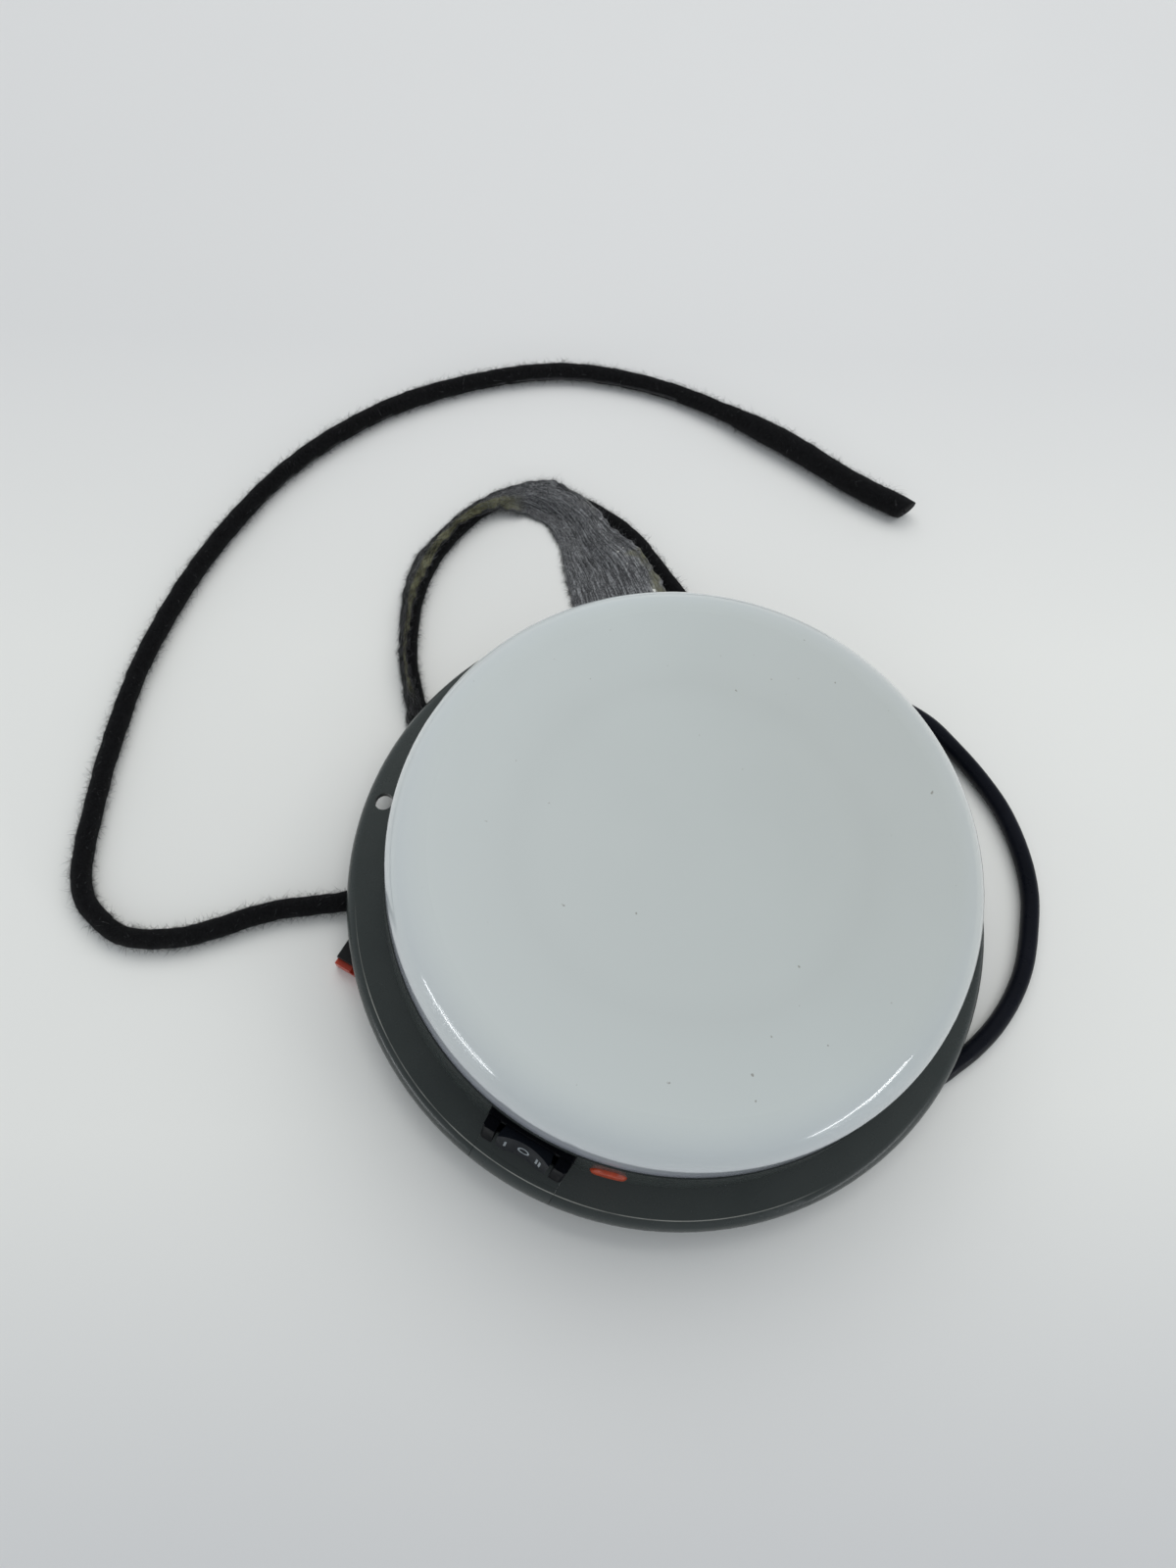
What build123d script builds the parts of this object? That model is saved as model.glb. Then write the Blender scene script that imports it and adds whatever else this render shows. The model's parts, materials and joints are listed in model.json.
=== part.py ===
from build123d import *
import math
import os

# Round surface-mounted LED interior lamp with a three-position rocker switch in its rim,
# a flying taped supply harness and a short sheathed cable that ends in a plug.
# Millimetres. Origin: centre of the mounting face. +Z: towards the lens. -Y: towards the switch.

# ---------------------------------------------------------------- driving dimensions
FLANGE_R = 95.0            # widest radius of the base flange
FLANGE_EDGE_Z = 3.0        # height of that widest line above the mounting face
FLANGE_BREAK_R = 92.2      # crisp edge where the rounded rim meets the sloping top
FLANGE_BREAK_Z = 7.0
NECK_FOOT_R = 84.2         # neck wall at the flange
NECK_FOOT_Z = 9.0
NECK_TOP_R = 82.7          # neck wall at the lens
NECK_TOP_Z = 26.0
WALL = 2.2                 # moulded wall of the base
FLOOR_Z = 3.0              # underside of the base floor
FLOOR_THICKNESS = 2.0

SCREW_PCD_R = 89.0         # two mounting holes, opposite each other
SCREW_HOLE_R = 2.7
SCREW_BOSS_R = 4.6
SCREW_BOSS_Z = 5.2         # the boss only thickens the flange's wall around the hole
SCREW_AZIMUTH = 194.0

LENS_EDGE_Z = 26.6         # lower edge of the lens skin
LENS_EDGE_R = 82.3
LENS_SHOULDER_Z = 34.0     # where the drafted side meets the shoulder
LENS_SIDE_R = 81.7
LENS_SHOULDER_RADIUS = 12.0
LENS_CROWN_Z = 47.0        # top of the crowned front
LENS_WALL = 2.2
SPIGOT_OUTER_R = 80.1      # ring that plugs into the neck
SPIGOT_WALL = 1.7
SPIGOT_FOOT_Z = 22.0
SWITCH_NOTCH_HALF = 16.0   # gap in the spigot around the switch

CARRIER_HALF = 12.33       # half width of the separate rim insert that holds the switch
CARRIER_FLOOR_Y = -80.0    # the insert reaches this far in along the floor,
CARRIER_WALL_Y = -78.0     # and this far in above it
SEAM = 0.1                 # gap between the insert and the base

SWITCH_Y = -83.2           # switch datum, on the neck wall
SWITCH_Z = 18.3
SWITCH_TILT = 8.0          # the switch leans with the neck draft, degrees
BEZEL_W = 25.0
BEZEL_H = 14.6
BEZEL_BACK = -1.2
BEZEL_FRONT = 1.5
CHEEK_X = (8.65, 12.2)     # raised cheeks at both ends of the rocker
CHEEK_H = 12.6
CHEEK_FRONT = 4.7
OPENING_W = 17.3           # clear opening for the rocker
OPENING_H = 10.2
HOUSING_W = 21.6
HOUSING_H = 12.4
HOUSING_BACK = -17.0
HOUSING_BACK_WALL = 1.2
CAVITY_W = 19.4
ROCKER_W = 15.0
ROCKER_H = 9.8
ROCKER_TIP = 4.9           # height of the rocker tips above the datum
DIP_UPPER = 3.15           # lowest point of the concave face at its upper edge
DIP_LOWER = 4.3            # and at its lower edge, where the dish runs out
MARK_BAR = (0.6, 3.2)
MARK_RING_R = (1.2, 1.7)
PIVOT_Z = -2.6
PIN_R = 0.9
PLUNGER_R = 1.2
RUNNING_CLEARANCE = 0.05
STEM_FOOT = -8.4
STRIP_TOP = -10.0          # rocking contact strip
STRIP_THICKNESS = 0.6
STRIP_HALF = 8.0
FULCRUM_R = 0.5            # rounded bead under the strip, in a saddle on the common terminal
SADDLE_TOP = -10.85
BUTTON_X = 6.6
BUTTON_R = 1.1
THROW_TOP = -12.12         # fixed contacts
THROW_X = 8.4
BLADE_END = -25.0
BLADE_T = 0.8
BLADE_W = 4.8

PILOT_AZIMUTH = 285.2      # red indicator beside the switch
PILOT_Z = 16.0
PILOT_R = 5.0
PILOT_SEAT = 82.95
PILOT_DISC = 1.35          # thickness of its front disc, most of it the domed edge
PILOT_DOME = 1.15

CARRIER_SCREW_X = 6.5
CARRIER_SCREW_Y = -74.0
BOARD_R = 47.0
BOARD_Z = 12.0
BOARD_T = 1.6
BOARD_SCREW_R = 42.0
LED_RINGS = ((22.0, 8), (38.0, 16))
LED_SIZE = (3.0, 3.0, 0.7)
REFLECTOR_INNER = (46.5, 14.4)
REFLECTOR_OUTER = (77.6, 20.6)
REFLECTOR_T = 1.2
LEG_R = 75.0
LEG_AZIMUTHS = (20.0, 140.0, 220.0, 320.0)

TABLE_Z = -8.0             # the cables lie in this plane, below the mounting face
HARNESS_R = 3.2
HARNESS_BORE_R = 2.3
OVERWRAP_R = 4.3
CORE_R = 0.75
SHEATH_R = 2.8
SHEATH_BORE_R = 2.05
ENTRY_Y = 62.0             # cable entry through the floor
ENTRY_X = 7.5
ENTRY_TOP = 8.5

BLOCK_X = (22.0, 34.0)     # terminal block on the floor beside the cable entry
BLOCK_Y = (43.0, 71.0)
BLOCK_TOP = 13.5
POLE_PITCH = 4.0
POLE_COUNT = 7
POLE_Z = 9.3

PLUG_X = (-74.2, -58.2)    # plug connector under the flange
PLUG_Y = (-66.0, -49.0)
PLUG_Z = (-7.8, -1.0)
PLUG_CORE_X = -66.2
PLUG_MID_Z = (PLUG_Z[0] + PLUG_Z[1]) / 2
PLUG_BORES = (PLUG_CORE_X - 1.98, PLUG_CORE_X + 1.98)
LOCK_PLATE_T = 1.6
LOCK_PLATE_H = 4.4

FLOOR_TOP = FLOOR_Z + FLOOR_THICKNESS
BOARD_TOP = BOARD_Z + BOARD_T
HARNESS_Z = TABLE_Z + HARNESS_R
OVERWRAP_Z = TABLE_Z + OVERWRAP_R
SHEATH_Z = TABLE_Z + SHEATH_R


# ---------------------------------------------------------------- helpers
def save(shape, node):
    shape.label = node
    export_step(shape, f"parts/{node}.step")


def group(solids):
    return Compound(children=[piece for solid in solids for piece in solid.solids()])


def polar(radius, azimuth, z=0.0):
    angle = math.radians(azimuth)
    return (radius * math.cos(angle), radius * math.sin(angle), z)


def turned(edges):
    """Solid of revolution about Z from an outline given as (radius, z)."""
    return revolve(Plane.XZ * make_face(Curve() + edges), axis=Axis.Z)


def block(x, y, z):
    """Box from low and high limits on each axis."""
    size = (x[1] - x[0], y[1] - y[0], z[1] - z[0])
    centre = ((x[0] + x[1]) / 2, (y[0] + y[1]) / 2, (z[0] + z[1]) / 2)
    return Pos(*centre) * Box(*size)


def post(x, y, z, radius):
    """Vertical cylinder between two heights."""
    return Pos(x, y, z[0]) * Cylinder(radius, z[1] - z[0], align=(Align.CENTER, Align.CENTER, Align.MIN))


def smooth_edges(points):
    """Straight runs joined by tangent arcs, one arc at each inner point."""
    corners = [Vector(*point) for point in points]
    edges = []
    last = corners[0]
    for before, corner, after in zip(corners, corners[1:], corners[2:]):
        back = (before - corner).normalized()
        ahead = (after - corner).normalized()
        half_turn = math.radians(180 - back.get_angle(ahead)) / 2
        if half_turn < 0.003:
            continue
        trim = 0.49 * min((before - corner).length, (after - corner).length)
        radius = trim / math.tan(half_turn)
        middle = corner + (back + ahead).normalized() * radius * (1 / math.cos(half_turn) - 1)
        edges.append(Line(last, corner + back * trim))
        edges.append(ThreePointArc(corner + back * trim, middle, corner + ahead * trim))
        last = corner + ahead * trim
    edges.append(Line(last, corners[-1]))
    return edges


def pipe(points, outer, inner=0.0, edge_count=None):
    """Round bar or tube swept along a smooth path, or along only its first few edges."""
    path = Wire(smooth_edges(points)[:edge_count])
    section = Circle(outer)
    if inner:
        section = section - Circle(inner)
    plane = Plane(origin=path @ 0, z_dir=path % 0)
    return sweep(plane * section, path=path)


def cross_screw(shank_r, length, head_r, head_h):
    """Pan-head screw, head underside at z = 0, with a cross recess."""
    head = post(0, 0, (0, head_h), head_r)
    head = fillet(head.edges().group_by(Axis.Z)[-1], head_h * 0.45)
    slot = Pos(0, 0, head_h) * Box(head_r * 1.1, head_r * 0.24, head_h)
    return head + post(0, 0, (-length, 0), shank_r) - slot - Rot(0, 0, 90) * slot


def switch_frame():
    """Plane on the neck wall: x along the rim, y up, z outward."""
    tilt = math.radians(SWITCH_TILT)
    normal = (0, -math.cos(tilt), math.sin(tilt))
    return Plane(origin=(0, SWITCH_Y, SWITCH_Z), x_dir=(1, 0, 0), z_dir=normal)


def pilot_frame():
    """Plane on the neck wall at the indicator, z outward."""
    origin = polar(PILOT_SEAT, PILOT_AZIMUTH, PILOT_Z)
    return Plane(origin=origin, x_dir=polar(1, PILOT_AZIMUTH + 90), z_dir=polar(1, PILOT_AZIMUTH))


SWITCH = switch_frame()
PILOT = pilot_frame()


# ---------------------------------------------------------------- base and lens
def pan_outline(crisp):
    """Half section of the base; the insert has a softer rim without the crisp edge."""
    if crisp:
        rim_end = (FLANGE_BREAK_R, FLANGE_BREAK_Z)
        rim = ThreePointArc((FLANGE_R, FLANGE_EDGE_Z), (FLANGE_R - 0.8, FLANGE_EDGE_Z + 2.75), rim_end)
    else:
        rim_end = (FLANGE_BREAK_R - 1.6, FLANGE_BREAK_Z + 0.4)
        rim = ThreePointArc((FLANGE_R, FLANGE_EDGE_Z), (FLANGE_R - 1.25, FLANGE_EDGE_Z + 2.95), rim_end)
    skirt_in = FLANGE_R - WALL
    foot_in = NECK_FOOT_R - WALL
    foot = ThreePointArc((FLANGE_R - 0.6, 0), (FLANGE_R - 0.12, 1.4), (FLANGE_R, FLANGE_EDGE_Z))
    rest = Polyline(
        rim_end,
        (NECK_FOOT_R, NECK_FOOT_Z),
        (NECK_TOP_R, NECK_TOP_Z),
        (NECK_TOP_R - WALL, NECK_TOP_Z),
        (foot_in, FLOOR_TOP + 1.5),
        (foot_in - 1.0, FLOOR_TOP),
        (0, FLOOR_TOP),
        (0, FLOOR_Z),
        (foot_in + 0.6, FLOOR_Z),
        (NECK_FOOT_R - 0.2, NECK_FOOT_Z - WALL),
        (skirt_in - 1.4, FLANGE_BREAK_Z - WALL + 0.1),
        (skirt_in, FLANGE_EDGE_Z),
        (skirt_in, 0),
        (FLANGE_R - 0.6, 0),
    )
    return [foot, rim, rest]


def bezel_pocket():
    size = Box(BEZEL_W + 0.2, BEZEL_H + 0.2, 6)
    return SWITCH * Pos(0, 0, BEZEL_BACK - 0.05 + 3) * size


def pilot_pocket():
    seat = PILOT * post(0, 0, (-0.05, 6), PILOT_R + 0.05)
    return seat + PILOT * post(0, 0, (-6, 1), PILOT_R - 1.0)


def entry_slot(extra):
    return SlotOverall(26 + 2 * extra, 13 + 2 * extra)


def base_pan():
    pan = turned(pan_outline(crisp=True))
    for azimuth in (SCREW_AZIMUTH, SCREW_AZIMUTH - 180):
        x, y, _ = polar(SCREW_PCD_R, azimuth)
        pan += post(x, y, (SCREW_BOSS_Z, 7.4), SCREW_BOSS_R) & turned(pan_envelope())
    for azimuth in (SCREW_AZIMUTH, SCREW_AZIMUTH - 180):
        x, y, _ = polar(SCREW_PCD_R, azimuth)
        pan -= post(x, y, (-1, 12), SCREW_HOLE_R)
    for azimuth in (0, 90, 180, 270):
        x, y, _ = polar(BOARD_SCREW_R, azimuth)
        pan += post(x, y, (FLOOR_TOP - 0.5, BOARD_Z), 3.5)
        pan -= post(x, y, (FLOOR_TOP + 1, BOARD_Z + 1), 1.3)
    for x in (-CARRIER_SCREW_X, CARRIER_SCREW_X):
        pan += post(x, CARRIER_SCREW_Y, (0.5, FLOOR_Z + 0.5), 3.0)
        pan -= post(x, CARRIER_SCREW_Y, (1.0, FLOOR_TOP + 1), 1.25)
    pan -= carrier_zone(SEAM)
    pan -= extrude(Pos(0, ENTRY_Y, 0) * entry_slot(0), FLOOR_TOP + 2)
    return pan - bezel_pocket() - pilot_pocket()


def pan_envelope():
    """Filled half section under the flange top, used to trim the screw bosses."""
    return [
        Polyline(
            (NECK_FOOT_R - 2, 0),
            (FLANGE_R - 0.6, 0),
            (FLANGE_R - 0.6, 4),
            (FLANGE_BREAK_R, FLANGE_BREAK_Z - 0.5),
            (NECK_FOOT_R - 2, NECK_FOOT_Z - 0.5),
            (NECK_FOOT_R - 2, 0),
        )
    ]


def carrier_zone(gap):
    """Space of the rim insert, grown by a gap."""
    half = CARRIER_HALF + gap
    low = block((-half, half), (-100, CARRIER_FLOOR_Y + gap), (-1, FLOOR_TOP))
    return low + block((-half, half), (-100, CARRIER_WALL_Y + gap), (FLOOR_TOP, 30))


def switch_carrier():
    """Rim insert between two seams, with the switch cut-out and a screwed foot."""
    rim = turned(pan_outline(crisp=False)) & carrier_zone(0)
    foot = block((-10, 10), (-82.0, -69.5), (FLOOR_TOP, FLOOR_TOP + 2))
    for x in (-CARRIER_SCREW_X, CARRIER_SCREW_X):
        foot -= post(x, CARRIER_SCREW_Y, (0, 10), 1.6)
    cut = SWITCH * Box(HOUSING_W + 0.4, HOUSING_H + 0.4, 12)
    return rim + foot - bezel_pocket() - cut


def carrier_screws():
    screw = cross_screw(1.2, 5.8, 2.6, 1.8)
    places = [(x, CARRIER_SCREW_Y, FLOOR_TOP + 2) for x in (-CARRIER_SCREW_X, CARRIER_SCREW_X)]
    return group(Pos(*place) * screw for place in places)


def crown_points(side_r, shoulder_radius, crown_z):
    """Shoulder centre, tangent point and mid-point of the shallow crown arc.

    The crown is a large circle on the axis that touches the shoulder circle from outside.
    """
    centre_r = side_r - shoulder_radius
    rise = crown_z - LENS_SHOULDER_Z - shoulder_radius
    drop = (centre_r ** 2 - rise ** 2) / (2 * rise)
    crown_radius = drop + rise + shoulder_radius
    reach = crown_radius - shoulder_radius
    tangent = (
        centre_r + shoulder_radius * centre_r / reach,
        LENS_SHOULDER_Z + shoulder_radius * drop / reach,
    )
    return (centre_r, LENS_SHOULDER_Z), tangent, crown_radius


def dome_edges(edge, side_r, shoulder_radius, crown_z):
    """Drafted side, round shoulder and crowned front, from the lower edge to the axis."""
    centre, tangent, crown_radius = crown_points(side_r, shoulder_radius, crown_z)
    angle = math.radians(45)
    middle = (centre[0] + shoulder_radius * math.cos(angle), centre[1] + shoulder_radius * math.sin(angle))
    half_r = tangent[0] / 2
    half_z = crown_z - crown_radius + math.sqrt(crown_radius ** 2 - half_r ** 2)
    return [
        Line(edge, (side_r, LENS_SHOULDER_Z)),
        ThreePointArc((side_r, LENS_SHOULDER_Z), middle, tangent),
        ThreePointArc(tangent, (half_r, half_z), (0, crown_z)),
    ]


def lens():
    outer = dome_edges((LENS_EDGE_R, LENS_EDGE_Z), LENS_SIDE_R, LENS_SHOULDER_RADIUS, LENS_CROWN_Z)
    inner_r = SPIGOT_OUTER_R - SPIGOT_WALL
    inner_edge = (inner_r, LENS_EDGE_Z + 2.5)
    inner_side = LENS_SIDE_R - LENS_WALL
    inner = dome_edges(
        inner_edge, inner_side, LENS_SHOULDER_RADIUS - LENS_WALL, LENS_CROWN_Z - LENS_WALL)
    axis_line = Line((0, LENS_CROWN_Z), (0, LENS_CROWN_Z - LENS_WALL))
    skirt = Polyline(
        inner_edge,
        (inner_r, SPIGOT_FOOT_Z),
        (SPIGOT_OUTER_R, SPIGOT_FOOT_Z),
        (SPIGOT_OUTER_R, LENS_EDGE_Z),
        (LENS_EDGE_R, LENS_EDGE_Z),
    )
    shell = turned(outer + [axis_line] + inner + [skirt])
    notch = block((-SWITCH_NOTCH_HALF, SWITCH_NOTCH_HALF), (-90, -60), (0, LENS_EDGE_Z))
    return shell - notch


def lens_seal():
    ring = post(0, 0, (NECK_TOP_Z, LENS_EDGE_Z - 0.05), NECK_TOP_R - 0.7)
    return ring - post(0, 0, (0, 40), NECK_TOP_R - WALL + 0.1)


# ---------------------------------------------------------------- light engine
def reflector_ring():
    (r0, z0), (r1, z1) = REFLECTOR_INNER, REFLECTOR_OUTER
    outline = [Polyline((r0, z0), (r1, z1), (r1, z1 + REFLECTOR_T), (r0, z0 + REFLECTOR_T), (r0, z0))]
    ring = turned(outline)
    for azimuth in LEG_AZIMUTHS:
        x, y, _ = polar(LEG_R, azimuth)
        ring += post(x, y, (FLOOR_TOP, z1 + 0.2), 2.2)
    return ring - block((-17, 29), (-90, -40), (0, 30))


def led_board():
    board = post(0, 0, (BOARD_Z, BOARD_TOP), BOARD_R)
    for azimuth in (0, 90, 180, 270):
        x, y, _ = polar(BOARD_SCREW_R, azimuth)
        board -= post(x, y, (0, 20), 1.7)
    x, y, _ = polar(30, 45)
    return board - post(x, y, (0, 20), 2.6)


def board_screws():
    screw = cross_screw(1.2, 6.0, 2.8, 1.9)
    places = [polar(BOARD_SCREW_R, azimuth, BOARD_TOP) for azimuth in (0, 90, 180, 270)]
    return group(Pos(*place) * screw for place in places)


def leds():
    chip = Pos(0, 0, LED_SIZE[2] / 2) * Box(*LED_SIZE)
    chips = []
    for radius, count in LED_RINGS:
        step = 360 / count
        for index in range(count):
            azimuth = (index + 0.5) * step
            chips.append(Pos(*polar(radius, azimuth, BOARD_TOP)) * Rot(0, 0, azimuth) * chip)
    return group(chips)


def inductor_core():
    core = post(-10, 6, (BOARD_TOP, BOARD_TOP + 7), 5.2)
    waist = post(-10, 6, (BOARD_TOP + 1.3, BOARD_TOP + 5.7), 8) - post(-10, 6, (0, 40), 2.6)
    return core - waist


def inductor_winding():
    coil = post(-10, 6, (BOARD_TOP + 1.35, BOARD_TOP + 5.65), 4.9)
    return coil - post(-10, 6, (0, 40), 2.65)


def smoothing_capacitor():
    can = post(-4, -10, (BOARD_TOP, BOARD_TOP + 9), 4.0)
    groove = post(-4, -10, (BOARD_TOP + 1.4, BOARD_TOP + 2.0), 6) - post(-4, -10, (0, 40), 3.7)
    return fillet((can - groove).edges().group_by(Axis.Z)[-1], 0.5)


def driver_chip():
    """Moulded package with four leads on each side."""
    chip = block((5.5, 10.5), (-8, -4), (BOARD_TOP + 0.2, BOARD_TOP + 1.7))
    for index in range(4):
        x = 6.1 + 1.27 * index
        chip += block((x - 0.2, x + 0.2), (-9.0, -3.0), (BOARD_TOP, BOARD_TOP + 0.5))
    return chip


def chip_resistors():
    part = Pos(0, 0, 0.3) * Box(3.2, 1.6, 0.6)
    places = [(3.0, -13.5), (7.5, -13.5), (12.5, -1.0), (-14, -4.5), (0.5, 15.5), (-6, 14.5)]
    return group(Pos(x, y, BOARD_TOP) * part for x, y in places)


def board_header():
    """Two-way wire header on the board, mouth facing outward along the 45 degree line."""
    body = Pos(0, 0, 3) * Box(6, 7, 6)
    for y in (-0.9, 0.9):
        body -= Pos(2.0, y, 3) * Rot(0, 90, 0) * Cylinder(0.7, 2.4)
    return Pos(*polar(13, 45, BOARD_TOP)) * Rot(0, 0, 45) * body


# ---------------------------------------------------------------- terminal block
def pole_y(index):
    return BLOCK_Y[0] + 2 + POLE_PITCH * index


def terminal_block():
    body = block(BLOCK_X, BLOCK_Y, (FLOOR_TOP, BLOCK_TOP))
    middle_x = sum(BLOCK_X) / 2
    for index in range(POLE_COUNT):
        bore = Pos(middle_x, pole_y(index), POLE_Z) * Rot(0, 90, 0) * Cylinder(1.5, 20)
        body -= bore + post(middle_x, pole_y(index), (POLE_Z, BLOCK_TOP + 1), 1.35)
    return body


def terminal_sleeves():
    """Brass tubes, each tapped from above by its clamp screw."""
    middle_x = sum(BLOCK_X) / 2
    sleeves = []
    for index in range(POLE_COUNT):
        tube = Rot(0, 90, 0) * (Cylinder(1.45, 9) - Cylinder(0.95, 9))
        tube = Pos(middle_x, pole_y(index), POLE_Z) * tube
        sleeves.append(tube - post(middle_x, pole_y(index), (POLE_Z, BLOCK_TOP), 0.8))
    return group(sleeves)


def terminal_screws():
    middle_x = sum(BLOCK_X) / 2
    top = BLOCK_TOP - 0.4
    screws = []
    for index in range(POLE_COUNT):
        y = pole_y(index)
        head = post(middle_x, y, (top - 1.6, top), 1.25)
        shank = post(middle_x, y, (POLE_Z + 0.3, top - 1.5), 0.75)
        slot = block((middle_x - 2, middle_x + 2), (y - 0.2, y + 0.2), (top - 0.7, top + 1))
        screws.append(head + shank - slot)
    return group(screws)


# ---------------------------------------------------------------- rocker switch
def switch_bezel():
    """Flange plate against the neck with a raised cheek at each end of the rocker."""
    plate = RectangleRounded(BEZEL_W, BEZEL_H, 1.0)
    body = extrude(Pos(0, 0, BEZEL_BACK) * plate, BEZEL_FRONT - BEZEL_BACK)
    cheek = block(CHEEK_X, (-CHEEK_H / 2, CHEEK_H / 2), (BEZEL_FRONT, CHEEK_FRONT))
    outer_corner = cheek.edges().filter_by(Axis.Y).sort_by(Axis.X)[-2:].sort_by(Axis.Z)[-1]
    cheek = chamfer(outer_corner, 0.7)
    body += cheek + mirror(cheek, Plane.YZ)
    return SWITCH * (body - Box(OPENING_W, OPENING_H, 20))


def blade_slot(x):
    return Pos(x, 0, HOUSING_BACK) * Box(BLADE_T + 0.1, BLADE_W + 0.1, 6)


def switch_housing():
    depth = (HOUSING_BACK, BEZEL_BACK)
    body = block((-HOUSING_W / 2, HOUSING_W / 2), (-HOUSING_H / 2, HOUSING_H / 2), depth)
    cavity_depth = (HOUSING_BACK + HOUSING_BACK_WALL, 5)
    body -= block((-CAVITY_W / 2, CAVITY_W / 2), (-OPENING_H / 2, OPENING_H / 2), cavity_depth)
    for x in (-THROW_X, 0, THROW_X):
        body -= blade_slot(x)
    return SWITCH * (body - pin_bar(PIN_R + 0.01, HOUSING_H + 2))


def pin_bar(radius, length):
    return Pos(0, 0, PIVOT_Z) * Rot(90, 0, 0) * Cylinder(radius, length)


def rocker_pin():
    return SWITCH * pin_bar(PIN_R, HOUSING_H - 0.2)


def dish(radius_change=0.0):
    """Cylinder that scoops the rocker's face, deeper at the upper edge than at the lower one."""
    depth = ROCKER_TIP - DIP_UPPER
    radius = ((ROCKER_W / 2) ** 2 + depth ** 2) / (2 * depth)
    lean = math.degrees(math.atan((DIP_LOWER - DIP_UPPER) / ROCKER_H))
    middle = (DIP_UPPER + DIP_LOWER) / 2
    bar = Cylinder(radius + radius_change, 3 * ROCKER_H)
    return Pos(0, 0, middle + radius) * Rot(90 - lean, 0, 0) * bar


def switch_rocker():
    """Concave rocker with a hollow stem that guides the plunger."""
    half = ROCKER_W / 2
    outline = Polyline(
        (-half, ROCKER_TIP),
        (half, ROCKER_TIP),
        (half, ROCKER_TIP - 1.6),
        (6.2, -2.0),
        (2.6, -3.4),
        (2.6, STEM_FOOT),
        (-2.6, STEM_FOOT),
        (-2.6, -3.4),
        (-6.2, -2.0),
        (-half, ROCKER_TIP - 1.6),
        (-half, ROCKER_TIP),
    )
    side = Plane.XZ * make_face(outline)
    body = extrude(side, ROCKER_H / 2, both=True) - dish()
    bore = post(0, 0, (STEM_FOOT - 1, PIVOT_Z - 1.2), PLUNGER_R + RUNNING_CLEARANCE)
    return SWITCH * (body - pin_bar(PIN_R + RUNNING_CLEARANCE, 20) - bore)


def rocker_marks():
    """Moulded-in position marks: one bar, a ring and two bars."""
    skin = dish() - dish(-0.1)
    bar = Box(*MARK_BAR, 20)
    ring = Cylinder(MARK_RING_R[1], 20) - Cylinder(MARK_RING_R[0], 20)
    shapes = [Pos(-5.1, 0, 0) * bar, ring, Pos(4.15, 0, 0) * bar, Pos(5.15, 0, 0) * bar]
    lower = block((-9, 9), (-9, 9), (DIP_UPPER - 1, ROCKER_TIP))
    return group(SWITCH * (skin & shape & lower) for shape in shapes)


def switch_plunger():
    """Sprung pin that presses on the contact strip."""
    head = post(0, 0, (-8.6, -7.0), PLUNGER_R)
    nose = post(0, 0, (-9.1, -8.6), 0.8) + Pos(0, 0, -9.1) * Sphere(0.8)
    return SWITCH * (head + nose)


def plunger_spring():
    coil = Helix(pitch=0.62, height=2.45, radius=0.85)
    wire = Plane(origin=coil @ 0, z_dir=coil % 0) * Circle(0.14)
    return SWITCH * Pos(0, 0, -6.5) * sweep(wire, path=coil, is_frenet=True)


def contact_strip():
    """Rocking strip with a button at each end and a bead across the middle that it rocks on."""
    foot = STRIP_TOP - STRIP_THICKNESS
    strip = block((-STRIP_HALF, STRIP_HALF), (-2, 2), (foot, STRIP_TOP))
    strip += Pos(0, 0, foot) * Rot(90, 0, 0) * Cylinder(FULCRUM_R, 4)
    for x in (-BUTTON_X, BUTTON_X):
        strip += post(x, 0, (foot - STRIP_THICKNESS, foot), BUTTON_R)
    return SWITCH * strip


def common_terminal():
    """Centre blade with a saddle that carries the bead of the contact strip."""
    half = BLADE_T / 2
    blade = block((-half, half), (-BLADE_W / 2, BLADE_W / 2), (BLADE_END, SADDLE_TOP - 1.0))
    saddle = block((-1.3, 1.3), (-BLADE_W / 2, BLADE_W / 2), (SADDLE_TOP - 1.4, SADDLE_TOP))
    groove = Pos(0, 0, STRIP_TOP - STRIP_THICKNESS) * Rot(90, 0, 0) * Cylinder(FULCRUM_R + 0.08, 20)
    return SWITCH * (blade + saddle - groove)


def throw_terminals():
    half = BLADE_T / 2
    pads = []
    for side in (-1, 1):
        pad = block((5.2, THROW_X + half), (-2.4, 2.4), (THROW_TOP - BLADE_T, THROW_TOP))
        leg = block((THROW_X - half, THROW_X + half), (-BLADE_W / 2, BLADE_W / 2), (BLADE_END, THROW_TOP))
        shape = pad + leg
        pads.append(SWITCH * (shape if side > 0 else mirror(shape, Plane.YZ)))
    return group(pads)


def spade_receptacles():
    """Push-on connectors, each open at the blade end and at the wire end."""
    sleeve = block((-1.3, 1.3), (-3.2, 3.2), (-29.5, -18.5))
    sleeve -= block((-BLADE_T / 2 - 0.05, BLADE_T / 2 + 0.05), (-2.45, 2.45), (-25.5, -18))
    sleeve -= post(0, 0, (-30, -26.5), 0.9)
    return group(SWITCH * Pos(x, 0, 0) * sleeve for x in (-THROW_X, 0, THROW_X))


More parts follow.
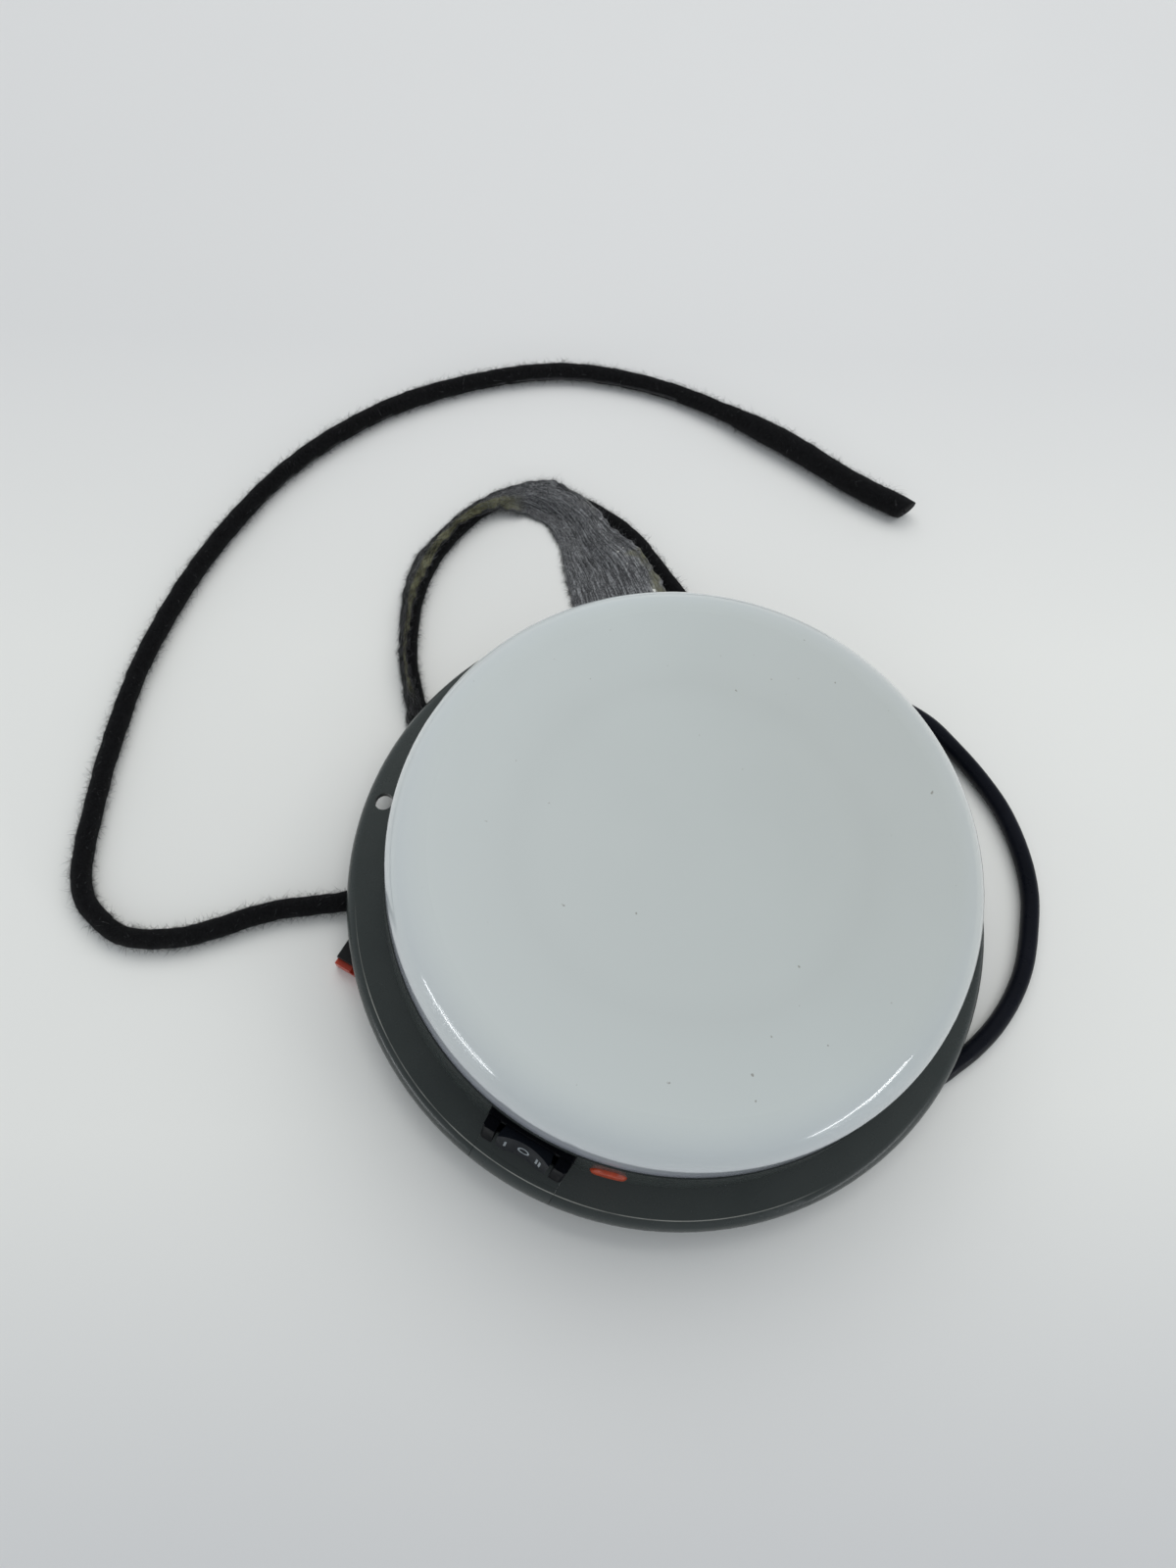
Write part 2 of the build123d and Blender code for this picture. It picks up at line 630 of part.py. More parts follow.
def switch_wires():
    """Three wires round the inside of the base to the terminal block."""
    wires = []
    for index, x in enumerate((THROW_X, 0, -THROW_X)):
        start = SWITCH.from_local_coords(Vector(x, 0, -27.5))
        ring = 52 + 2.2 * index
        points = [
            start,
            SWITCH.from_local_coords(Vector(x, 0, -31)),
            SWITCH.from_local_coords(Vector(x, -0.8, -34)),
        ]
        points += [polar(ring, azimuth, 7.5) for azimuth in (-58, -25, 5, 30)]
        y = pole_y(2 + index)
        points += [(40 + 1.5 * index, y - 4, POLE_Z), (BLOCK_X[1] + 0.1, y, POLE_Z)]
        wires.append(pipe(points, CORE_R))
    return group(wires)


# ---------------------------------------------------------------- indicator
def pilot_lens():
    disc = post(0, 0, (0, PILOT_DISC), PILOT_R)
    disc = fillet(disc.edges().group_by(Axis.Z)[-1], PILOT_DOME)
    return PILOT * (disc + post(0, 0, (-2.0, 0), PILOT_R - 1.1))


def pilot_holder():
    return PILOT * (post(0, 0, (-9, -2.6), 4.6) - post(0, 0, (-10, 0), 2.6))


def pilot_led():
    body = post(0, 0, (-8.5, -4.6), 2.5) + Pos(0, 0, -4.6) * Sphere(2.5) & post(0, 0, (-8.5, 0), 2.5)
    for x in (-1.27, 1.27):
        body += Pos(x, 0, 0) * post(0, 0, (-12, -8.4), 0.3)
    return PILOT * body


def pilot_wires():
    wires = []
    for index, x in enumerate((-1.27, 1.27)):
        ring = 62 + 2.4 * index
        start = PILOT.from_local_coords(Vector(x, 0, -12.1))
        points = [start, PILOT.from_local_coords(Vector(x * 1.4, -2.5, -16))]
        points += [polar(ring, azimuth, 7.5) for azimuth in (-52, -20, 8, 32)]
        y = pole_y(5 + index)
        points += [(44 + 2 * index, y - 5, POLE_Z), (BLOCK_X[1] + 0.1, y, POLE_Z)]
        wires.append(pipe(points, 0.6))
    return group(wires)


def board_wires():
    """Two wires from the block, up through the board to its header."""
    mouth = polar(16.1, 45, BOARD_TOP + 3)
    hole = polar(30, 45)
    wires = []
    for index, side in enumerate((0.9, -0.9)):
        across = polar(side, -45)
        y = pole_y(index)
        points = [
            (BLOCK_X[1] + 0.1, y, POLE_Z),
            (BLOCK_X[1] + 3.5 + 1.5 * index, y - 3, POLE_Z - 1),
            (30 + across[0] * 1.6, 31 + across[1] * 1.6, 7.6),
            (hole[0] + 0.6 + across[0], hole[1] + 0.6 + across[1], BOARD_Z - 1.5),
            (hole[0] - 0.4 + across[0], hole[1] - 0.4 + across[1], BOARD_TOP + 1),
            (mouth[0] + 3.0 + across[0], mouth[1] + 3.0 + across[1], BOARD_TOP + 3.4),
            (mouth[0] + across[0], mouth[1] + across[1], mouth[2]),
        ]
        wires.append(pipe(points, 0.6))
    return group(wires)


# ---------------------------------------------------------------- cables
def cable_grommet():
    """Rubber bush that grips the edge of the entry slot and passes both cables."""
    neck = extrude(Pos(0, ENTRY_Y, FLOOR_Z) * entry_slot(-0.05), FLOOR_THICKNESS)
    lower = extrude(Pos(0, ENTRY_Y, FLOOR_Z - 1) * entry_slot(2), 1)
    upper = extrude(Pos(0, ENTRY_Y, FLOOR_TOP) * entry_slot(2), 1)
    body = neck + lower + upper
    body -= post(-ENTRY_X, ENTRY_Y, (0, 10), HARNESS_R + 0.4)
    return body - post(ENTRY_X, ENTRY_Y, (0, 10), SHEATH_R + 0.4)


def cable_ties():
    """One ratchet tie round each cable, inside, as strain relief."""
    ties = []
    for x, radius in ((-ENTRY_X, HARNESS_R), (ENTRY_X, SHEATH_R)):
        band = post(x, ENTRY_Y, (6.5, 8.3), radius + 1.2) - post(x, ENTRY_Y, (6, 9), radius + 0.15)
        lock = block((x - 1.6, x + 1.6), (ENTRY_Y + radius + 0.9, ENTRY_Y + radius + 3.4), (6.3, 8.5))
        ties.append(band + lock)
    return group(ties)


def harness_route():
    """Centre line of the taped harness, from its cut end to the cable entry."""
    thick = OVERWRAP_Z
    cut_end = [(7, 171, thick), (-15, 171, thick), (-52, 174, thick), (-91, 172, HARNESS_Z)]
    plan = [
        (-126, 159), (-153, 135), (-174, 104), (-186, 67), (-188, 26), (-182, -14), (-171, -46),
        (-163, -64), (-156, -78), (-149, -87), (-141, -91), (-131, -92), (-122, -88), (-113, -81),
        (-98, -64), (-82, -51), (-75.5, -42), (-73, -31), (-74, -18), (-80, -4), (-88.5, 5.5),
        (-96, 12), (-108.5, 25), (-116, 37), (-121.5, 49), (-124.5, 63), (-124, 78), (-120.5, 92),
        (-113, 102.5), (-101.5, 110), (-86.5, 111), (-71, 108), (-57, 101.5), (-46.5, 96),
        (-34, 88), (-23, 80), (-14, 72.5),
    ]
    rise = [
        (-10, 67.5, HARNESS_Z + 1.0),
        (-7.9, 63.8, HARNESS_Z + 3.2),
        (-ENTRY_X, ENTRY_Y + 0.1, 1.6),
        (-ENTRY_X, ENTRY_Y, 4.5),
        (-ENTRY_X, ENTRY_Y, ENTRY_TOP),
    ]
    return cut_end + [(x, y, HARNESS_Z) for x, y in plan] + rise


def round_cable_route():
    """Centre line of the sheathed cable, from the plug to the cable entry."""
    plan = [
        (PLUG_CORE_X, -43.5), (-65, -38), (-59, -34), (-48, -35.5), (-28, -43), (0, -50), (35, -48),
        (62, -37), (82, -22), (92.5, -10), (97.5, -1), (101, 6.5), (104, 16), (105.5, 27),
        (105, 38), (102, 50), (98, 60.5), (91, 71), (81, 81), (70, 88), (58, 93.5), (46, 97.5),
        (33, 97), (21.5, 89.5), (13.5, 77.5),
    ]
    rise = [
        (10.3, 69, SHEATH_Z + 0.8),
        (8.1, 64.3, SHEATH_Z + 3.0),
        (ENTRY_X, ENTRY_Y + 0.1, 1.2),
        (ENTRY_X, ENTRY_Y, 4.5),
        (ENTRY_X, ENTRY_Y, ENTRY_TOP),
    ]
    return [(x, y, SHEATH_Z) for x, y in plan] + rise


def core_points(route, across, above):
    """Points beside a cable's centre line, sideways and upward of it."""
    corners = [Vector(*point) for point in route]
    normal = Vector(0, 1, 0)
    points = []
    for index, corner in enumerate(corners):
        before = corners[max(index - 1, 0)]
        after = corners[min(index + 1, len(corners) - 1)]
        tangent = (after - before).normalized()
        if math.hypot(tangent.X, tangent.Y) > 0.08:
            normal = Vector(-tangent.Y, tangent.X, 0).normalized()
        points.append(corner + normal * across + tangent.cross(normal) * above)
    return points


def harness_tape():
    return pipe(harness_route(), HARNESS_R, HARNESS_BORE_R)


def harness_overwrap():
    """Second layer of tape on the last stretch before the cut end."""
    return pipe(harness_route(), OVERWRAP_R, HARNESS_R + 0.02, edge_count=4)


def harness_cores():
    """Three wires inside the tape that run on to the terminal block."""
    cores = []
    for index, angle in enumerate((90, 210, 330)):
        offset = 1.0
        across = offset * math.cos(math.radians(angle))
        above = offset * math.sin(math.radians(angle))
        points = core_points(harness_route(), across, above)
        y = pole_y(6 - index)
        points += [
            (-4.5, 66.5 + 1.9 * (1 - index), 12.6),
            (6.0, 69.0 + 2.0 * (1 - index), 13.2),
            (15.0, y + 1.5, 11.2),
            (BLOCK_X[0] - 0.1, y, POLE_Z),
        ]
        cores.append(pipe(points, CORE_R))
    return group(cores)


def round_cable_sheath():
    return pipe(round_cable_route(), SHEATH_R, SHEATH_BORE_R)


def round_cable_cores():
    """Two wires inside the sheath, from the plug cavities to the terminal block."""
    cores = []
    for index, across in enumerate((-0.9, 0.9)):
        points = core_points(round_cable_route(), across, 0)
        cavity = PLUG_CORE_X - 2.2 * across
        into_plug = [(cavity, PLUG_Y[1] - 2.5, PLUG_MID_Z), (cavity, PLUG_Y[1] + 0.6, PLUG_MID_Z)]
        y = pole_y(1 - index)
        into_block = [
            (9.0 - 2 * index, 57.0 - 2 * index, 11.6),
            (16.0, y + 1.5, 10.4),
            (BLOCK_X[0] - 0.1, y, POLE_Z),
        ]
        points = into_plug + points + into_block
        cores.append(pipe(points, CORE_R))
    return group(cores)


def loose_tape():
    """Wide flap where the fleece tape has come unwound, lying beside the harness."""
    outer = Spline(
        (-103, 104.5), (-95, 106.8), (-86.3, 107.1), (-72.2, 103.9), (-58.8, 97.9), (-50, 92.8))
    far_end = Line((-50, 92.8), (-71, 78.5))
    inner = Spline((-71, 78.5), (-82, 84.5), (-89, 94), (-95, 100), (-103, 104.5))
    flap = make_face(Curve() + [outer, far_end, inner])
    return extrude(Pos(0, 0, -6.2) * flap, 1.2)


# ---------------------------------------------------------------- plug connector
def connector_housing():
    body = block(PLUG_X, PLUG_Y, PLUG_Z)
    body = fillet(body.edges().filter_by(Axis.Y), 0.6)
    for x in PLUG_BORES:
        body -= Pos(x, 0, PLUG_MID_Z) * Rot(90, 0, 0) * Pos(0, 0, 52) * Cylinder(1.6, 30)
    latch = block((-68.2, -64.2), (-62, -52), (PLUG_Z[1] - 0.6, PLUG_Z[1] + 0.7))
    return body + latch - lock_slot()


def lock_slot():
    return block((-73.0, -59.4), (-66.1, -63.0), (PLUG_Z[0] + 0.8, PLUG_Z[0] + 1.7))


def connector_lock():
    """Secondary lock: a face plate with a tongue that slides into the housing."""
    width = (PLUG_X[0] + 0.1, PLUG_X[1] - 0.1)
    thickness = (PLUG_Y[0] - LOCK_PLATE_T, PLUG_Y[0])
    plate = block(width, thickness, (PLUG_Z[0], PLUG_Z[0] + LOCK_PLATE_H))
    for x in PLUG_BORES:
        plate -= Pos(x, PLUG_Y[0], PLUG_MID_Z) * Rot(90, 0, 0) * Cylinder(1.2, 6)
    tongue = block((-72.9, -59.5), (-66.1, -63.1), (PLUG_Z[0] + 0.85, PLUG_Z[0] + 1.65))
    return plate + tongue


def connector_terminals():
    """Tinned socket contacts, one in each cavity."""
    sockets = []
    for x in PLUG_BORES:
        tube = Cylinder(1.3, 10) - Cylinder(0.85, 10.1)
        sockets.append(Pos(x, -59.5, PLUG_MID_Z) * Rot(90, 0, 0) * tube)
    return group(sockets)


def wire_seals():
    seals = []
    for x in PLUG_BORES:
        ring = Cylinder(1.55, 2.4) - Cylinder(CORE_R + 0.05, 2.5)
        seals.append(Pos(x, PLUG_Y[1] - 1.3, PLUG_MID_Z) * Rot(90, 0, 0) * ring)
    return group(seals)


NODES = {
    "base_pan": base_pan,
    "switch_carrier": switch_carrier,
    "carrier_screws": carrier_screws,
    "lens": lens,
    "lens_seal": lens_seal,
    "reflector_ring": reflector_ring,
    "led_board": led_board,
    "board_screws": board_screws,
    "leds": leds,
    "inductor_core": inductor_core,
    "inductor_winding": inductor_winding,
    "smoothing_capacitor": smoothing_capacitor,
    "driver_chip": driver_chip,
    "chip_resistors": chip_resistors,
    "board_header": board_header,
    "terminal_block": terminal_block,
    "terminal_sleeves": terminal_sleeves,
    "terminal_screws": terminal_screws,
    "switch_bezel": switch_bezel,
    "switch_housing": switch_housing,
    "rocker_pin": rocker_pin,
    "switch_rocker": switch_rocker,
    "rocker_marks": rocker_marks,
    "switch_plunger": switch_plunger,
    "plunger_spring": plunger_spring,
    "contact_strip": contact_strip,
    "common_terminal": common_terminal,
    "throw_terminals": throw_terminals,
    "spade_receptacles": spade_receptacles,
    "switch_wires": switch_wires,
    "pilot_lens": pilot_lens,
    "pilot_holder": pilot_holder,
    "pilot_led": pilot_led,
    "pilot_wires": pilot_wires,
    "board_wires": board_wires,
    "cable_grommet": cable_grommet,
    "cable_ties": cable_ties,
    "harness_tape": harness_tape,
    "harness_overwrap": harness_overwrap,
    "harness_cores": harness_cores,
    "loose_tape": loose_tape,
    "round_cable_sheath": round_cable_sheath,
    "round_cable_cores": round_cable_cores,
    "connector_housing": connector_housing,
    "connector_lock": connector_lock,
    "connector_terminals": connector_terminals,
    "wire_seals": wire_seals,
}

os.makedirs("parts", exist_ok=True)
for node, make in NODES.items():
    save(make(), node)
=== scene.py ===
import json
import math
import random

import bpy
from mathutils import Matrix, Vector, noise


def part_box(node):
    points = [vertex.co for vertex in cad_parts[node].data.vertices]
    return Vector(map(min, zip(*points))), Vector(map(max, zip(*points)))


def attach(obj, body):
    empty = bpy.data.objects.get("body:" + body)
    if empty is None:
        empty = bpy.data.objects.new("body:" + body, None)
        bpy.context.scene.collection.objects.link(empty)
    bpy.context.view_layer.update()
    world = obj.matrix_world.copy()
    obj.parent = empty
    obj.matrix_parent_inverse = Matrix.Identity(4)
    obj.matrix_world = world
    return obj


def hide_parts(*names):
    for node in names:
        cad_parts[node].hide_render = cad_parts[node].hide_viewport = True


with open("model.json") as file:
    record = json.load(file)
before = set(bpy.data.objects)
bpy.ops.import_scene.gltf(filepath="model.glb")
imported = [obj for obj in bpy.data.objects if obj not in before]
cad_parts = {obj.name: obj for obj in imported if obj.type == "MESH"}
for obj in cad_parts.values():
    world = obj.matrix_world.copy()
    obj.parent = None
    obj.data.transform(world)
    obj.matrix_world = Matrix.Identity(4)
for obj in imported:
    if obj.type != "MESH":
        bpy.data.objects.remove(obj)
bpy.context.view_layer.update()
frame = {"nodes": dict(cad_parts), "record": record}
NODES = frame["nodes"]
MM = 0.001

# ---------------------------------------------------------------- sizes, millimetres
TABLE_Z = -8.0              # the lamp lies on its own cables, this far above the table
FLOOR_GAP = 0.15            # the floor is drawn this much lower, so that nothing cuts into it
TABLE_GAP = 0.3             # hairs of the harness that reach lower over the table are left out
HARNESS_R = 2.9             # of the taped bundle
HARNESS_THICK_R = 4.0       # with a second layer of tape, near the cut end
THICK_LENGTH = 80.0         # of that layer, from the cut end
THICK_BLEND = 22.0          # the last part of it, over which it ends
TAPE_PITCH = 11.0           # advance of the wound tape per turn
TAPE_STEP = 0.22            # ridge where each turn overlaps the last
CUT_RINGS = 3               # rings of the cut end that lean and are pinched
CUT_SLANT = 0.5
CUT_PINCH = 0.15
SLIMMING = 0.17             # share of its radius the bundle loses where its tape has come off
LOOP_MIDDLE = Vector((-98, 62, 0))
LOOP_SHIFT = 0.4            # how far the slimmer stretch sits towards that middle
OPENING_LENGTH = 16.0       # the tape opens out over this length
GROMMET_LENGTH = 16         # the bundle's last stretch, inside the grommet
HIDDEN_LENGTH = 60          # the last stretch of all, under the lamp, has no hairs
BLACK_PER_MM = 75           # hairs along the harness
PALE_PER_MM = 2
SHORTEST_HAIR = 0.4
HAIR_DEPTH = 0.08           # how deep the hairs are rooted in the tape
HARNESS_SEGMENTS = 28
SHEATH_R = 2.8
SHEATH_SEGMENTS = 40
LENS_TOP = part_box("lens")[1].z / MM
LENS_FOOT = 26.6
LENS_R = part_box("lens")[1].x / MM
FLANGE_EDGE_R = 92.2        # crisp edge between the rim and the sloping top of the flange
FLANGE_EDGE_LOW = 6.2       # everything on the base at that radius and above this is the edge

HARNESS_ROUTE = [
    (7, 171, -3.7), (-15, 171, -3.7), (-52, 174, -3.7), (-91, 172, -5.0), (-126, 159, -5.0),
    (-153, 135, -5.0), (-174, 104, -5.0), (-186, 67, -5.0), (-188, 26, -5.0), (-182, -14, -5.0),
    (-171, -46, -5.0), (-163, -64, -5.0), (-156, -77.8, -5.0), (-149.2, -86.6, -5.0),
    (-141.2, -90.5, -5.0), (-131.2, -91.5, -5.0), (-122.3, -87.5, -5.0), (-113.4, -80.5, -5.0),
    (-98.4, -63.5, -5.0), (-82.3, -50.5, -5.0),
    (-75.5, -42, -5.0), (-73, -31, -5.0), (-74, -18, -5.0), (-80, -4, -5.0), (-88.5, 5.5, -5.0),
    (-96, 12, -5.0), (-108.5, 25, -5.0), (-116, 37, -5.0), (-121.5, 49, -5.0), (-124.5, 63, -5.0),
    (-124, 78, -5.0), (-120.5, 92, -5.0), (-113, 102.5, -5.0), (-101.5, 110, -5.0), (-86.5, 111, -5.0),
    (-71, 108, -5.0), (-57, 101.5, -5.0), (-46.5, 96, -5.0), (-34, 88, -5.0), (-23, 80, -5.0),
    (-14, 72.5, -5.0), (-10, 67.5, -3.8), (-7.9, 63.8, -1.6), (-7.5, 62.1, 1.6), (-7.5, 62, 4.5),
    (-7.5, 62, 8.5),
]
SHEATH_ROUTE = [
    (-66.2, -43.5, -5.2), (-65, -38, -5.2), (-59, -34, -5.2), (-48, -35.5, -5.2), (-28, -43, -5.2),
    (0, -50, -5.2), (35, -48, -5.2), (62, -37, -5.2), (82, -22, -5.2), (92.5, -10, -5.2),
    (97.5, -1, -5.2), (101, 6.5, -5.2), (104, 16, -5.2), (105.5, 27, -5.2), (105, 38, -5.2),
    (102, 50, -5.2), (98, 60.5, -5.2), (91, 71, -5.2), (81, 81, -5.2), (70, 88, -5.2),
    (58, 93.5, -5.2), (46, 97.5, -5.2), (33, 97, -5.2), (21.5, 89.5, -5.2), (13.5, 77.5, -5.2),
    (10.3, 69, -4.4), (8.1, 64.3, -2.2), (7.5, 62.1, 1.2), (7.5, 62, 4.5), (7.5, 62, 8.5),
]
LOOP_START = (-96, 12)      # stretch of the harness whose tape has come unwound
LOOP_APEX = (-101.5, 110)
LOOP_END = (-66, 107)
BAND_INNER = [              # edges of the unwound tape, from under the flange round to under the lens
    (-90.5, 12), (-98.6, 17.5), (-101.9, 19.3), (-106.6, 22.9), (-110.4, 27.6), (-113.3, 32.6),
    (-115.9, 37.8), (-117.9, 43.6), (-119.9, 49.4), (-121.6, 58.8), (-122.5, 65.4), (-122.6, 71.8),
    (-121.9, 78.8), (-119.9, 85.5), (-115.6, 91.6), (-111.3, 95.2), (-107.0, 97.6), (-101.5, 98.4),
    (-96.8, 97.1), (-92.4, 94.2), (-88.1, 89.5), (-85.2, 85.7), (-81.0, 81.1), (-76.8, 76.2), (-70, 69),
]
BAND_OUTER = [
    (-93.5, 3.5), (-99.5, 9.4), (-103.4, 14.4), (-109.5, 21.4), (-113.2, 26.4), (-116.4, 31.0),
    (-120.4, 37.6), (-124.0, 44.3), (-126.9, 50.2), (-129.0, 58.3), (-129.7, 65.0), (-129.0, 73.0),
    (-127.6, 81.2), (-125.3, 89.6), (-120.6, 98.6), (-115.6, 104.4), (-109.6, 109.6), (-103.4, 112.2),
    (-95.5, 112.2), (-87.5, 110.4), (-80.5, 107.2), (-73.6, 105.2), (-66.8, 104.2), (-58.6, 99.4),
    (-48, 92),
]


# ---------------------------------------------------------------- mesh helpers
def make_object(name, vertices, faces, material, smooth=True):
    mesh = bpy.data.meshes.new(name)
    mesh.from_pydata([Vector(v) * MM for v in vertices], [], faces)
    mesh.materials.append(material)
    if smooth:
        mesh.polygons.foreach_set("use_smooth", [True] * len(mesh.polygons))
    mesh.update()
    piece = bpy.data.objects.new(name, mesh)
    bpy.context.scene.collection.objects.link(piece)
    return piece


def ease(share):
    """Share kept within 0 and 1, with a soft start and end."""
    share = min(max(share, 0.0), 1.0)
    return share * share * (3 - 2 * share)


def lengthened(points):
    """The points as vectors, with one more past each end."""
    route = [Vector(point) for point in points]
    return [2 * route[0] - route[1]] + route + [2 * route[-1] - route[-2]]


def on_curve(a, b, c, d, t):
    """The point at share t of the way from b to c, on a smooth curve through all four."""
    square = (2 * a - 5 * b + 4 * c - d) * t ** 2
    cube = (3 * b - a - 3 * c + d) * t ** 3
    return 0.5 * (2 * b + (c - a) * t + square + cube)


def catmull(points, spacing):
    """Smooth curve through points, resampled at an even spacing."""
    route = lengthened(points)
    fine = []
    for a, b, c, d in zip(route, route[1:], route[2:], route[3:]):
        steps = max(2, int((c - b).length / 0.5))
        for step in range(steps):
            fine.append(on_curve(a, b, c, d, step / steps))
    fine.append(route[-2])
    length = [0.0]
    for a, b in zip(fine, fine[1:]):
        length.append(length[-1] + (b - a).length)
    count = max(2, int(length[-1] / spacing))
    result = []
    index = 0
    for step in range(count + 1):
        target = length[-1] * step / count
        while index < len(fine) - 2 and length[index + 1] < target:
            index += 1
        share = (target - length[index]) / max(length[index + 1] - length[index], 1e-9)
        result.append(fine[index].lerp(fine[index + 1], min(max(share, 0), 1)))
    return result


def rings(centres):
    """Frames along a curve that don't twist: (centre, tangent, side, up)."""
    frames = []
    side = None
    for index, centre in enumerate(centres):
        before = centres[max(index - 1, 0)]
        after = centres[min(index + 1, len(centres) - 1)]
        tangent = (after - before).normalized()
        if side is None:
            side = tangent.cross(Vector((0, 0, 1))).normalized()
        side = (side - tangent * side.dot(tangent)).normalized()
        frames.append((centre, tangent, side, side.cross(tangent).normalized()))
    return frames


def tube(name, centres, segments, radius, material):
    """Closed tube; radius(index, angle) gives the skin's distance from the centre line."""
    vertices = []
    faces = []
    frames = rings(centres)
    for index, (centre, _, side, up) in enumerate(frames):
        for step in range(segments):
            angle = math.tau * step / segments
            r = radius(index, angle)
            vertices.append(centre + (side * math.cos(angle) + up * math.sin(angle)) * r)
    for index in range(len(frames) - 1):
        low = index * segments
        for step in range(segments):
            nxt = (step + 1) % segments
            faces.append((low + step, low + segments + step, low + segments + nxt, low + nxt))
    faces.append(tuple(range(segments)))
    faces.append(tuple(reversed(range(len(vertices) - segments, len(vertices)))))
    return make_object(name, vertices, faces, material)


def fibres(name, roots, material, thickness):
    """Tapered three-sided hairs; each root is (point, direction, bend, length)."""
    vertices = []
    faces = []
    levels = 4
    for point, direction, bend, length in roots:
        side = direction.cross(bend)
        if side.length < 1e-4:
            side = direction.orthogonal()
        side.normalize()
        up = direction.cross(side).normalized()
        curl = side * (bend.length * math.sin(length * 7.0 + point.x))
        base = len(vertices)
        for level in range(levels):
            t = level / levels
            centre = point + (direction * t + bend * t * t + curl * t * t * (1.5 - t)) * length
            r = thickness * (1 - 0.6 * t)
            for corner in range(3):
                angle = math.tau * corner / 3
                vertices.append(centre + (side * math.cos(angle) + up * math.sin(angle)) * r)
        tip = len(vertices)
        vertices.append(point + (direction + bend + curl * 0.5) * length)
        faces.append((base + 2, base + 1, base))
        for level in range(levels - 1):
            low = base + level * 3
            for corner in range(3):
                nxt = (corner + 1) % 3
                faces.append((low + corner, low + nxt, low + 3 + nxt, low + 3 + corner))
        low = base + (levels - 1) * 3
        for corner in range(3):
            faces.append((low + corner, low + (corner + 1) % 3, tip))
    return make_object(name, vertices, faces, material)


def place(piece, slot_name, *replaced):
    """Fixes the piece to the lamp's body, in place of the CAD nodes that it stands for."""
    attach(piece, "lamp")
    if replaced:
        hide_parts(*replaced)


# ---------------------------------------------------------------- material helpers
class Shader:
    """A node-based material with short calls for the parts every surface here uses."""

    def __init__(self, name, roughness=0.4):
        self.material = bpy.data.materials.new(name)
        self.material.use_nodes = True
        self.tree = self.material.node_tree
        self.surface = self.tree.nodes["Principled BSDF"]
        self.surface.inputs["Roughness"].default_value = roughness
        self.coords = self.tree.nodes.new("ShaderNodeTexCoord").outputs["Object"]

    def link(self, source, target):
        self.tree.links.new(source, target)

    def feed(self, value, socket):
        """Gives the socket a number, a colour or another node's output."""
        if isinstance(value, (int, float)):
            socket.default_value = value
        elif isinstance(value, tuple):
            socket.default_value = (*value, 1)
        else:
            self.link(value, socket)

    def noise(self, scale, detail=4.0, rough=0.55, stretch=(1, 1, 1), coords=None):
        """Noise, by default in object space, where scale is in features per metre."""
        mapping = self.tree.nodes.new("ShaderNodeMapping")
        mapping.inputs["Scale"].default_value = stretch
        self.link(coords or self.coords, mapping.inputs["Vector"])
        texture = self.tree.nodes.new("ShaderNodeTexNoise")
        texture.inputs["Scale"].default_value = scale
        texture.inputs["Detail"].default_value = detail
        texture.inputs["Roughness"].default_value = rough
        self.link(mapping.outputs[0], texture.inputs["Vector"])
        return texture.outputs["Fac"]

    def ramp(self, source, stops):
        node = self.tree.nodes.new("ShaderNodeValToRGB")
        while len(node.color_ramp.elements) < len(stops):
            node.color_ramp.elements.new(0.5)
        for element, (position, colour) in zip(node.color_ramp.elements, stops):
            element.position = position
            element.color = (*colour, 1)
        self.link(source, node.inputs["Fac"])
        return node.outputs["Color"]

    def grey(self, source, first, last, start=0.35, end=0.65):
        """A grey that runs from first to last while the source goes from start to end."""
        return self.ramp(source, [(start, (first,) * 3), (end, (last,) * 3)])

    def over_disc(self, xyz, direction, radius):
        """0 to 1 from one side of a disc round the axis to the other; direction is (x, y)."""
        x = self.math("MULTIPLY", xyz.outputs[0], direction[0])
        y = self.math("MULTIPLY", xyz.outputs[1], direction[1])
        offset = self.math("ADD", self.math("ADD", x, y), radius * MM)
        return self.math("DIVIDE", offset, 2 * radius * MM)

    def mix(self, share, first, second):
        node = self.tree.nodes.new("ShaderNodeMix")
        node.data_type = "RGBA"
        self.feed(share, node.inputs[0])
        self.feed(first, node.inputs[6])
        self.feed(second, node.inputs[7])
        return node.outputs[2]

    def math(self, operation, first, second=0.0):
        node = self.tree.nodes.new("ShaderNodeMath")
        node.operation = operation
        self.feed(first, node.inputs[0])
        self.feed(second, node.inputs[1])
        return node.outputs[0]

    def bump(self, height, distance, strength):
        """Adds relief, distance deep in mm, on top of the relief that is there."""
        node = self.tree.nodes.new("ShaderNodeBump")
        node.inputs["Strength"].default_value = strength
        node.inputs["Distance"].default_value = distance * MM
        self.link(height, node.inputs["Height"])
        previous = self.surface.inputs["Normal"].links
        if previous:
            self.link(previous[0].from_socket, node.inputs["Normal"])
        self.link(node.outputs[0], self.surface.inputs["Normal"])

    def soften(self, radius):
        """Rounds the shading of sharp edges a little, as moulding does."""
        node = self.tree.nodes.new("ShaderNodeBevel")
        node.samples = 4
        node.inputs["Radius"].default_value = radius * MM
        self.link(node.outputs[0], self.surface.inputs["Normal"])

    def set(self, name, value):
        self.feed(value, self.surface.inputs[name])


